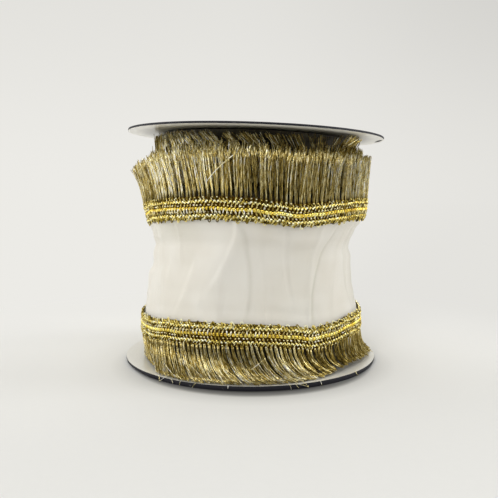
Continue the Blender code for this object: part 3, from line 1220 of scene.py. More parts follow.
class Side(Enum):
    """Which edge of the ribbon a braid lies along: the sign says where its fringe is."""

    UPPER = 1
    LOWER = -1


class Cover(NamedTuple):
    """How a braid is worked at an azimuth in degrees.

    The share says how thickly the stitches lie over the satin, from 0 to 1, the tuck how far its
    cloth edge is drawn in, in millimetres, and the tone is painted light: it makes its threads brighter,
    duller under 0.
    """

    azimuth: float
    share: float
    tuck: float = 0.0
    tone: float = 0.0


class CordRow(NamedTuple):
    """A zigzag cord: how far from the fringe edge its middle is, and how far it swings."""

    at: float
    reach: float


class LumpRow(NamedTuple):
    """A row of wrapped lumps: how far from the fringe edge it is, and half of a lump's size."""

    at: float
    across: float
    along: float
    out: float


class TieRow(NamedTuple):
    """Threads that tie rows together: where they start and end across the braid, and their slant."""

    start: float
    end: float
    slant: float


class LoopRow(NamedTuple):
    """A row of picots: half a loop's width, its share of the height, how far out it is, its tone, lower
    for the inner loops as painted shade.
    """

    half_width: float
    reach: float
    out: float
    tone: float


BRIGHT_CORD = MetalThread(
    "bright_gold_cord",
    (0.06, 0.035, 0.002), (0.8, 0.6, 0.1),
    (1.0, 0.93, 0.42), (1.0, 1.0, 0.85),
    roughness=0.26, metallic=0.8, own_tone=0.75, coat=0.4, edge=(0.7, 0.58, 0.28),
)
SATIN_FOIL = MetalThread(
    "satin_gold_foil",
    (0.25, 0.12, 0.006), (0.88, 0.64, 0.07),
    (1.0, 0.91, 0.28), (1.0, 1.0, 0.65),
    roughness=0.25, relief_mm=0.04, metallic=0.9, own_tone=0.8, edge=(0.7, 0.55, 0.25),
)
PALE_GIMP = MetalThread(
    "pale_gold_gimp",
    (0.06, 0.04, 0.004), (0.62, 0.47, 0.12),
    (1.0, 0.92, 0.52), (1.0, 1.0, 0.95),
    roughness=0.28, metallic=0.8, own_tone=0.75, coat=0.12, edge=(0.7, 0.6, 0.3),
)
DARK_GROUND = MetalThread(
    "dark_gold_ground",
    (0.04, 0.018, 0.001), (0.17, 0.09, 0.006),
    (0.4, 0.25, 0.025), (0.6, 0.43, 0.08),
    roughness=0.5, relief_mm=0.15, coat=0.0,
)
PICOT_THREAD = MetalThread(
    "olive_gold_picot",
    (0.06, 0.04, 0.003), (0.5, 0.37, 0.05),
    (1.0, 0.85, 0.3), (1.0, 1.0, 0.75),
    roughness=0.34, metallic=0.8, own_tone=0.8, coat=0.12, edge=(0.7, 0.6, 0.25),
)
FRINGE_THREAD = MetalThread(
    "champagne_fringe_thread",
    (0.07, 0.045, 0.004), (0.5, 0.37, 0.09),
    (1.0, 0.9, 0.5), (1.0, 1.0, 0.95),
    roughness=0.28, grains_per_mm=0.3, relief_mm=0.03, own_tone=0.68, coat=0.15,
    edge=(0.75, 0.65, 0.38),
)
THREADS = (BRIGHT_CORD, SATIN_FOIL, PALE_GIMP, DARK_GROUND, PICOT_THREAD, FRINGE_THREAD)


@dataclass(frozen=True)
class Braid:
    """A gold heading of zigzag cords, satin, stitches and picots, in millimetres.

    Attributes:
        side: The edge of the ribbon that it lies along.
        line: The height of its middle on the straight roll.
        back_at_cloth: The radius of its back at its cloth edge.
        cover: How it is worked, and its painted light, by azimuth.
        seed: What its chance differences start from.
        back_at_fringe: The radius of its back at its fringe edge.
        width: Its width up to the picots.
        tape: The section of its dark ground, as distances across and heights over its back.
        tape_steps: How many faces the ground has round the roll.
        knots: The knots over the bundles of the fringe.
        cords: The two zigzag cords.
        lumps: The two rows of wrapped lumps.
        ties: The threads that tie the rows.
        loops: The wide picots and the narrow ones inside them, darkened by painted shade.
        satin_at: How far from the fringe edge the middle of the satin is.
        satin_width: The satin's full width.
        satin_bulge: The satin's section, as shares of half its width and of its height.
        satin_steps: How many faces the satin has from stitch to stitch.
        satin_height: How high it puffs out.
        stitches_at: How far from the fringe edge the middle of the stitches is.
        stitches_reach: How far they reach to each side of it.
        picot_from: Where the picots start.
        picot_to: Where a common picot of the full height ends.
        picot_pitch: How far they are apart.
        waves: How many stitches there are round the roll.
        cord_steps: How many points each wave of a cord has.
        cord_radius: The mean radius of a cord.
        picot_radius: That of a picot's thread.
        tie_radius: That of a tie.
        drift: How far its rows wander across it.
        drifts: How often the cords and the satin do, once round the roll.
        swings: The least and the greatest share of its reach that a cord swings.
        cord_out: How high a cord's middle lies, how far it rises and falls, and how unevenly.
        cord_shares: The shares of its mean radius that a cord has where it falls and where it rises.
        cord_even: The least and the greatest share of that which chance leaves it.
        cord_dull: The least tone of a cord where it falls, and the greatest where it rises.
        lump_sizes: The least and the greatest share of its size that a lump has.
        lump_lean: How far a lump leans.
        lump_lift: How high its middle is: this share of half its height, and this much more.
        satin_sizes: The least and the greatest share of its height that a puff has.
        satin_tones: The least and the greatest tone of a puff.
        seam_tones: Those of the foil in the pinch under a stitch, painted shade.
        satin_nip: The share of its width that a stitch takes, and how much more in close work.
        satin_dip: The share of its height that a stitch takes, and how much more in close work.
        stitch_out: How high a stitch bows over its ends, and how much more in close work.
        stitch_radius: The radius of its thread, and how much more it has in close work.
        picot_sizes: The least and the greatest share of its height that a picot has.
        picot_course: The share of the full height that each of three picots in a row has.
        long_picots: The share of picots that aren't extra long, and how much longer the others are.
        cord_tones: The beta distribution of the cords' tones.
        lump_tones: That of the lumps' tones.
        stitch_tones: That of the stitches' tones.
        picot_tones: That of the picots' tones.
        tie_tones: That of the ties' tones.
    """

    side: Side
    line: float
    back_at_cloth: float
    cover: tuple[Cover, ...]
    seed: int
    back_at_fringe: float = 50.05
    width: float = 10.3
    tape: tuple[Pair, ...] = ((-0.1, 0.05), (0.3, 0.4), (8.2, 0.4), (9.1, 0.25), (9.1, 0.05))
    tape_steps: int = 300
    knots: LumpRow = LumpRow(0.35, 0.3, 0.42, 0.35)
    cords: tuple[CordRow, ...] = table(CordRow, (1.95, 0.5), (7.45, 0.55))
    lumps: tuple[LumpRow, ...] = table(LumpRow, (3.4, 0.33, 0.48, 0.45), (6.0, 0.33, 0.42, 0.42))
    ties: tuple[TieRow, ...] = table(
        TieRow,
        (0.6, 1.6, 0.6), (2.4, 4.0, -0.5), (5.4, 7.0, 0.9), (7.9, 9.1, -0.9),
    )
    loops: tuple[LoopRow, ...] = table(LoopRow, (0.72, 1.0, 0.35, 1.0), (0.3, 0.82, 0.6, 0.5))
    satin_at: float = 4.7
    satin_width: float = 1.8
    satin_bulge: tuple[Pair, ...] = (
        (-1.0, 0.0), (-0.9, 0.45), (-0.45, 0.75), (0.45, 0.75), (0.9, 0.45), (1.0, 0.0),
    )
    satin_steps: int = 5
    satin_height: float = 1.3
    stitches_at: float = 5.55
    stitches_reach: float = 1.05
    picot_from: float = 7.3
    picot_to: float = 9.8
    picot_pitch: float = 1.25
    waves: int = 200
    cord_steps: int = 10
    cord_radius: float = 0.33
    picot_radius: float = 0.22
    tie_radius: float = 0.2
    drift: float = 0.06
    drifts: tuple[int, int] = (31, 23)
    swings: Pair = (0.8, 1.2)
    cord_out: tuple[float, float, float] = (0.8, 0.12, 0.04)
    cord_shares: Pair = (1.1, 0.8)
    cord_even: Pair = (0.92, 1.08)
    cord_dull: Pair = (0.4, 0.85)
    lump_sizes: Pair = (0.8, 1.15)
    lump_lean: float = 0.3
    lump_lift: Pair = (0.9, 0.3)
    satin_sizes: Pair = (0.8, 1.1)
    satin_tones: Pair = (0.35, 1.0)
    seam_tones: Pair = (0.0, 0.3)
    satin_nip: Pair = (0.18, 0.45)
    satin_dip: Pair = (0.55, 0.2)
    stitch_out: Pair = (0.45, 0.6)
    stitch_radius: Pair = (0.08, 0.24)
    picot_sizes: Pair = (0.7, 1.1)
    picot_course: tuple[float, float, float] = (1.0, 0.68, 0.62)
    long_picots: Pair = (0.97, 1.3)
    cord_tones: Pair = (0.6, 0.5)
    lump_tones: Pair = (0.9, 0.42)
    stitch_tones: Pair = (1.0, 0.6)
    picot_tones: Pair = (0.5, 0.35)
    tie_tones: Pair = (0.5, 0.45)

    @property
    def name(self) -> str:
        """The CAD node that the braid stands for, which its pieces are named after."""
        return "braid_" + self.side.name.lower()

    @property
    def girth(self) -> float:
        """The length once round the braid."""
        return math.tau * self.back_at_fringe

    @property
    def pitch(self) -> float:
        """The length of one stitch, which all its rows share."""
        return self.girth / self.waves

    def place(self, across: np.ndarray, along: np.ndarray, out: np.ndarray) -> np.ndarray:
        """Sets points of the flat braid on the real roll.

        Args:
            across: Distances from the fringe edge.
            along: Azimuths, in radians.
            out: Heights over the braid's back.

        Returns:
            The points, in metres.
        """
        back_at_cloth = self.back_at_cloth - self.worked("tuck", along)
        back = self.back_at_fringe + (back_at_cloth - self.back_at_fringe) * across / self.width
        height = self.line + self.side.value * (self.width / 2 - across)
        return WINDING.place(along, back + out, height)

    def worked(self, column: str, azimuth: np.ndarray) -> np.ndarray:
        """The share, the tuck or the tone of the cover table at each azimuth."""
        return eased(self.cover, "azimuth", column, in_degrees(azimuth))

    def spots(self, pitch: float, loose: float, rng: Generator) -> np.ndarray:
        """Azimuths at this pitch round the braid, each off its place by up to this share of it."""
        count = round(self.girth / pitch)
        return (np.arange(count) + rng.uniform(-loose, loose, count)) * math.tau / count

    def zigzag(self, row: CordRow, rng: Generator) -> Shape:
        """A thick cord that swings across the braid.

        Args:
            row: Where the cord runs.
            rng: Where chance comes from.

        Returns:
            The closed cord.
        """
        steps = self.waves * self.cord_steps
        along = np.linspace(0.0, math.tau, steps, endpoint=False)
        phase = along * self.waves
        swing = np.arcsin(np.sin(phase)) * 2.0 / math.pi
        swing *= rng.uniform(*self.swings, self.waves).repeat(self.cord_steps)
        across = row.at + row.reach * swing + self.drift * np.sin(along * self.drifts[0])
        middle, wave, uneven = self.cord_out
        out = middle + wave * np.cos(phase) + rng.uniform(-uneven, uneven, steps)
        falls = np.cos(phase) < 0.0
        tone = rng.beta(*self.cord_tones, self.waves * 2).repeat(self.cord_steps // 2)
        least, most = self.cord_dull
        tone = np.where(falls, least + (1.0 - least) * tone, most * tone)
        # Painted light and shade round the roll.
        tone = tone + self.worked("tone", along)
        radius = self.cord_radius * np.where(falls, *self.cord_shares)
        radius = radius * rng.uniform(*self.cord_even, steps) * MM
        return tubes(self.place(across, along, out)[None], radius[None], 6, tone[None], closed=True)

    def beads(self, row: LumpRow, along: np.ndarray, rng: Generator) -> Shape:
        """A row of small wrapped lumps.

        Args:
            row: Where the row runs, and the size of a lump.
            along: The azimuth of each lump.
            rng: Where chance comes from.

        Returns:
            The joined lumps.
        """
        verts, faces = bead_form(6, 4)
        count = len(along)
        grow = rng.uniform(*self.lump_sizes, (count, 1))
        lean = rng.uniform(-self.lump_lean, self.lump_lean, (count, 1))
        local = verts[None, :, :] * row[1:] * grow[:, :, None]
        across = row.at + rng.uniform(-0.1, 0.1, (count, 1)) + local[:, :, 0]
        azimuth = along[:, None] + (local[:, :, 1] + lean * local[:, :, 0]) / self.back_at_fringe
        share, more = self.lump_lift
        points = self.place(across, azimuth, row.out * share + more + local[:, :, 2])
        numbers = faces[None] + (np.arange(count) * len(verts))[:, None, None]
        tone = np.repeat(rng.beta(*self.lump_tones, count) + self.worked("tone", along), len(verts))
        run = np.repeat(np.arange(count) * OWN_START, len(verts))
        return Shape(points.reshape(-1, 3), [numbers.reshape(-1, 3)], tone, run).facing_out()

    def satin(self, rng: Generator) -> Shape:
        """The foil band, which puffs out between its stitches.

        Args:
            rng: Where chance comes from.

        Returns:
            The closed band.
        """
        count = self.waves
        steps = count * self.satin_steps
        bulge = np.array(self.satin_bulge)
        along = np.linspace(0.0, math.tau, steps, endpoint=False)
        pinch = np.abs(np.sin(along * count / 2)) ** 0.6
        size = rng.uniform(*self.satin_sizes, count).repeat(self.satin_steps)
        share = self.worked("share", along)
        nip, dip = (plain + close * share for plain, close in (self.satin_nip, self.satin_dip))
        wide = self.satin_width / 2 * (1.0 - nip + nip * pinch)
        drift = self.drift * np.sin(along * self.drifts[1])
        across = self.satin_at + drift + bulge[:, 0:1] * wide
        out = 0.15 + self.satin_height * bulge[:, 1:2] * (1.0 - dip + dip * pinch * size)
        points = self.place(across.T, np.repeat(along[:, None], len(bulge), 1), out.T)
        number = np.arange(steps * len(bulge)).reshape(steps, len(bulge))
        far = np.roll(number, -1, axis=0)
        quads = np.stack([number, np.roll(number, -1, 1), np.roll(far, -1, 1), far], axis=-1)
        tone = rng.uniform(*self.satin_tones, count).repeat(self.satin_steps)
        # Painted shade in the pinch under each stitch, and over the satin where the stitches lie close.
        tone[:: self.satin_steps] = rng.uniform(*self.seam_tones, count)
        tone = tone * (1.0 - 0.5 * share) + self.worked("tone", along)
        run = np.repeat(along * self.back_at_fringe, len(bulge))
        tone = np.repeat(tone, len(bulge))
        return Shape(points.reshape(-1, 3), [quads.reshape(-1, 4)], tone, run).facing_out()

    def stitches(self, rng: Generator) -> Shape:
        """Short threads beside and over the satin, thicker where the braid is worked closer.

        Args:
            rng: Where chance comes from.

        Returns:
            The joined threads.
        """
        along = self.spots(self.pitch, 0.12, rng)
        count = len(along)
        cover = self.worked("share", along)
        share = np.linspace(-1.0, 1.0, 6)
        across = self.stitches_at + share * self.stitches_reach
        across = across[None, :] + rng.uniform(-0.15, 0.15, (count, 1))
        lean = rng.uniform(-0.35, 0.35, (count, 1)) * share
        bow = np.sqrt(1.0 - 0.85 * share**2)[None, :]
        plain, close = self.stitch_out
        out = 0.35 + (plain + close * cover[:, None]) * bow
        paths = self.place(across, along[:, None] + lean / self.back_at_fringe, out)
        plain, close = self.stitch_radius
        radius = (plain + close * cover * rng.uniform(0.8, 1.2, count))[:, None] * MM
        tone = rng.beta(*self.stitch_tones, count) + self.worked("tone", along)
        return tubes(paths, radius, 5, tone)

    def picots(self, rng: Generator) -> Shape:
        """Wide loops of thin thread along the cloth edge, and narrow ones inside them.

        Args:
            rng: Where chance comes from.

        Returns:
            The joined loops.
        """
        angle = np.linspace(-0.15 * math.pi, 1.15 * math.pi, 13)
        feet = 0.45
        rise = (np.sin(angle) + feet) / (1.0 + feet)
        plain, longer = self.long_picots
        paths = []
        places = []
        for row in self.loops:
            along = self.spots(self.picot_pitch, 0.1, rng)
            count = len(along)
            tall = (self.picot_to - self.picot_from) * row.reach
            tall = tall * rng.uniform(*self.picot_sizes, count)
            tall = tall * np.array(self.picot_course)[np.arange(count) % 3]
            tall = tall * np.where(rng.uniform(0.0, 1.0, count) > plain, longer, 1.0)
            wide = row.half_width * rng.uniform(0.85, 1.15, count)
            lean = rng.uniform(-0.5, 0.5, (count, 1)) * rise
            across = self.picot_from + tall[:, None] * rise
            azimuth = along[:, None] + (wide[:, None] * np.cos(angle) + lean) / self.back_at_cloth
            out = row.out + rng.uniform(-0.15, 0.2, (count, 1)) + 0.12 * np.cos(angle)
            paths.append(self.place(across, azimuth, out))
            places.append(along)
        # The inner loops are darkened by their row's tone, as painted shade.
        gains = np.repeat([row.tone for row in self.loops], [len(along) for along in places])
        places = np.concatenate(places)
        tone = rng.beta(*self.picot_tones, len(places)) * gains + self.worked("tone", places)
        return tubes(np.concatenate(paths), np.array(self.picot_radius * MM), 5, tone)

    def tied(self, rng: Generator) -> Shape:
        """Slanting threads that tie the rows together over the dark ground.

        Args:
            rng: Where chance comes from.

        Returns:
            The joined threads.
        """
        share = np.linspace(0.0, 1.0, 5)
        paths = []
        for row in self.ties:
            along = self.spots(self.pitch, 0.15, rng)[:, None]
            across = row.start + (row.end - row.start) * share
            azimuth = along + row.slant * (share - 0.5) / self.back_at_fringe
            out = 0.55 + 0.25 * np.sin(share * math.pi)
            paths.append(self.place(np.broadcast_to(across, azimuth.shape), azimuth, out))
        paths = np.concatenate(paths)
        tone = rng.beta(*self.tie_tones, len(paths))
        return tubes(paths, np.array(self.tie_radius * MM), 4, tone)

    def ground(self) -> Mesh:
        """The dark knitted tape that the rows are worked on."""
        levels = [(self.back_at_fringe, index / MM) for index in range(len(self.tape))]
        bm = revolve(levels, self.tape_steps, closed=True)
        for vert in bm.verts:
            across, out = self.tape[round(vert.co.z)]
            azimuth = math.atan2(vert.co.x, -vert.co.y)
            vert.co = self.place(np.array(across), np.array(azimuth), np.array(out))
        bmesh.ops.remove_doubles(bm, verts=bm.verts, dist=SAME_PLACE)
        bmesh.ops.recalc_face_normals(bm, faces=bm.faces)
        return mesh_of(bm, self.name + "_ground")

    def build(self, finishes: dict[str, Material]) -> list[Object]:
        """The dressed braid.

        Args:
            finishes: The thread materials by name.

        Returns:
            Its pieces, the ground first.
        """
        rng = np.random.default_rng(self.seed)
        near_cord, far_cord = (self.zigzag(row, rng) for row in self.cords)
        near, far = (self.beads(row, self.spots(self.pitch, 0.15, rng), rng) for row in self.lumps)
        roots = np.arange(BUNDLES) * math.tau / BUNDLES
        parts = (
            ("cords", near_cord.joined(far_cord), BRIGHT_CORD),
            ("beads", near.joined(far), PALE_GIMP),
            ("knots", self.beads(self.knots, roots, rng), PICOT_THREAD),
            ("satin", self.satin(rng), SATIN_FOIL),
            ("stitches", self.stitches(rng), PALE_GIMP),
            ("ties", self.tied(rng), PICOT_THREAD),
            ("picots", self.picots(rng), PICOT_THREAD),
        )
        ground = self.name + "_ground"
        finish = [finishes[DARK_GROUND.name]]
        pieces = [add_piece(ground, self.ground(), finish, [self.name])]
        for part, shape, thread in parts:
            name = f"{self.name}_{part}"
            pieces.append(add_piece(name, shape.mesh(name), [finishes[thread.name]]))
        return pieces


class Control(NamedTuple):
    """A control point of a thread's curve: radius and height in millimetres, shift in degrees."""

    radius: float
    height: float
    shift: float


class Fall(NamedTuple):
    """How a fringe falls at an azimuth in degrees.

    The sweep multiplies the sideways shift of its tips, the reach moves them out and the rise lifts
    them, both in millimetres, and the tone is painted light: it makes its threads brighter, duller under
    0.
    """

    azimuth: float
    sweep: float
    reach: float
    rise: float = 0.0
    tone: float = 0.0


EVEN_FALL = (Fall(-180, 1.0, 0.0), Fall(180, 1.0, 0.0))


@dataclass(frozen=True)
class Fringe:
    """A ring of cut threads that leave the ribbon's edge in bundles, in millimetres.

    Attributes:
        name: The piece's name, and that of the CAD node that it stands for.
        curve: Four control points of the middle thread, from root to cut end.
        bundles: How many bundles there are round the roll.
        threads: How many threads a bundle has.
        points: How many points each thread's line has.
        root: Half a bundle's width and depth at its root.
        tip: Half its width and depth at its cut end.
        uneven: How far its cut ends differ in height.
        lean: How far whole bundles lean, in degrees.
        seed: What its chance differences start from.
        fall: How it falls round the roll, and its painted light.
        on_card: Whether its cut ends lie on the lower flange.
        thread: The radius of a thread.
        curl: How far single threads stray.
        tip_tone: How much painted light brightens its threads towards their cut ends.
        root_calm: How much less its threads' tones differ at their roots.
        tone_mix: The beta distribution of its threads' tones: both under 1 is mostly dark or bright.
        ends: The share of a thread's last stretch that takes its cut end's random tone, painted as
            glints.
        bundle_tone: The share of a thread's tone that it has from its bundle.
        ceiling: The height that none of its threads passes.
        loose: How far a bundle is off its place, as a share of the pitch.
        bundle_length: How far the lengths of whole bundles differ.
        behind: How much painted shade dulls the threads at the back of a bundle.
        crimp: How far a thread's line wanders sideways.
        pile: The least and the greatest height over the lower flange, before a power of 1.5.
        thicknesses: The least and the greatest share of its radius that a thread has.
        bundle_mix: The beta distribution of the bundles' tones.
        end_mix: That of the cut ends' tones, the painted glints.
    """

    name: str
    curve: tuple[Control, Control, Control, Control]
    bundles: int
    threads: int
    points: int
    root: Pair
    tip: Pair
    uneven: float
    lean: float
    seed: int
    fall: tuple[Fall, ...] = EVEN_FALL
    on_card: bool = False
    thread: float = 0.2
    curl: float = 0.7
    tip_tone: float = 0.0
    root_calm: float = 0.5
    tone_mix: Pair = (0.32, 0.38)
    ends: float = 0.7
    bundle_tone: float = 0.2
    ceiling: float = 100.25
    loose: float = 0.08
    bundle_length: float = 0.012
    behind: float = 0.2
    crimp: float = 0.05
    pile: Pair = (0.15, 1.3)
    thicknesses: Pair = (0.8, 1.2)
    bundle_mix: Pair = (1.5, 1.5)
    end_mix: Pair = (0.35, 0.5)

    def controls(self, rng: Generator) -> tuple[np.ndarray, np.ndarray]:
        """The course and the tone of every thread.

        Args:
            rng: Where chance comes from.

        Returns:
            Four control points a thread, each a radius, a height and an azimuth, and one tone a thread.
        """
        count = self.bundles * self.threads
        bundle = np.repeat(np.arange(self.bundles), self.threads)
        off = rng.uniform(-self.loose, self.loose, self.bundles)
        along = (bundle + off[bundle]) * math.tau / self.bundles
        degrees = in_degrees(along)
        sweep, reach, rise, bright = (
            eased(self.fall, "azimuth", column, degrees) for column in Fall._fields[1:]
        )
        lean = rng.normal(0.0, self.lean, self.bundles)[bundle]
        length = 1.0 + rng.normal(0.0, self.bundle_length, self.bundles)[bundle]
        spread = rng.uniform(-1.0, 1.0, (count, 2))
        ragged = rng.normal(0.0, self.uneven, count)
        tone = self.bundle_tone * rng.beta(*self.bundle_mix, self.bundles)[bundle]
        tone += (1.0 - self.bundle_tone) * rng.beta(*self.tone_mix, count)
        # Painted shade: threads at the back of a bundle are duller.
        tone *= 1.0 - self.behind + self.behind * spread[:, 1]
        # Painted light and shade round the roll, from the fall table.
        tone += bright
        out = np.zeros((count, 4, 3))
        base = self.curve[0].height
        for index, control in enumerate(self.curve):
            share = index / 3
            mixed = smooth_step(0.1, 0.9, np.array(share))
            half = [a + (b - a) * mixed for a, b in zip(self.root, self.tip)]
            stray = rng.normal(0.0, self.curl * share, (count, 2))
            sideways = (spread[:, 0] * half[0] + stray[:, 0]) / control.radius
            out[:, index, 0] = control.radius + spread[:, 1] * half[1] + stray[:, 1] * 0.6
            out[:, index, 0] += reach * share * share
            out[:, index, 1] = base + (control.height - base) * length
            out[:, index, 1] += (ragged + rise) * share * share
            turned = control.shift * sweep + lean * share
            out[:, index, 2] = along + sideways + np.radians(turned)
        return out, tone

    def lines(self, controls: np.ndarray, rng: Generator) -> np.ndarray:
        """The threads' lines in place.

        Args:
            controls: The threads' control points.
            rng: Where chance comes from.

        Returns:
            Points in metres, as (thread, point, xyz).
        """
        share = np.linspace(0.0, 1.0, self.points)[:, None]
        curves = sum(
            math.comb(3, index) * share**index * (1 - share) ** (3 - index) * controls[:, index, None]
            for index in range(4)
        )
        crimp = rng.normal(0.0, self.crimp, curves.shape[:2])
        crimp[:, 0] = 0.0
        radius = curves[..., 0]
        height = curves[..., 1]
        azimuth = curves[..., 2] + crimp / radius
        if self.on_card:
            pile = rng.uniform(*self.pile, len(curves))[:, None] ** 1.5
            height = np.maximum(height, LOWER_FLANGE.top(radius) + self.thread + pile)
        return WINDING.place(azimuth, radius, np.minimum(height, self.ceiling))

    def build(self, finishes: dict[str, Material]) -> Object:
        """The dressed fringe.

        Args:
            finishes: The thread materials by name.

        Returns:
            The piece.
        """
        rng = np.random.default_rng(self.seed)
        controls, tone = self.controls(rng)
        lines = self.lines(controls, rng)
        share = np.linspace(0.0, 1.0, self.points)
        calm = 1.0 - self.root_calm * (1.0 - share) ** 2
        # Painted light brightens the threads towards their cut ends by tip_tone.
        tone = 0.5 + (tone[:, None] - 0.5) * calm + self.tip_tone * share**2
        # Painted glints: each cut end takes a tone of its own, mostly dark or bright.
        tone[:, -1] += self.ends * (rng.beta(*self.end_mix, len(tone)) - tone[:, -1])
        thick = self.thread * rng.uniform(*self.thicknesses, (len(lines), 1)) * MM
        shape = tubes(lines, thick, 3, np.clip(tone, 0.0, 1.0), flat=0.8)
        finish = [finishes[FRINGE_THREAD.name]]
        mesh = shape.mesh(self.name)
        return add_piece(self.name + "_threads", mesh, finish, [self.name])


@dataclass(frozen=True)
class Softbox:
    """A square soft light: its name, its place and side in metres, and its power in watts."""

    name: str
    place: Point
    size: float
    watts: float

    def build(self) -> None:
        """The light, turned to face the roll."""
        light = bpy.data.lights.new(self.name, "AREA")
        light.size = self.size
        light.energy = self.watts
        lamp = bpy.data.objects.new(self.name, light)
        bpy.context.scene.collection.objects.link(lamp)
        lamp.location = self.place
        aim = Vector((0.0, 0.0, 0.05)) - Vector(self.place)
        lamp.rotation_euler = aim.to_track_quat("-Z", "Y").to_euler()


class ShadowStop(NamedTuple):
    """The share of the light that is left at a share of the painted shadow's reach."""

    share: float
    light: float


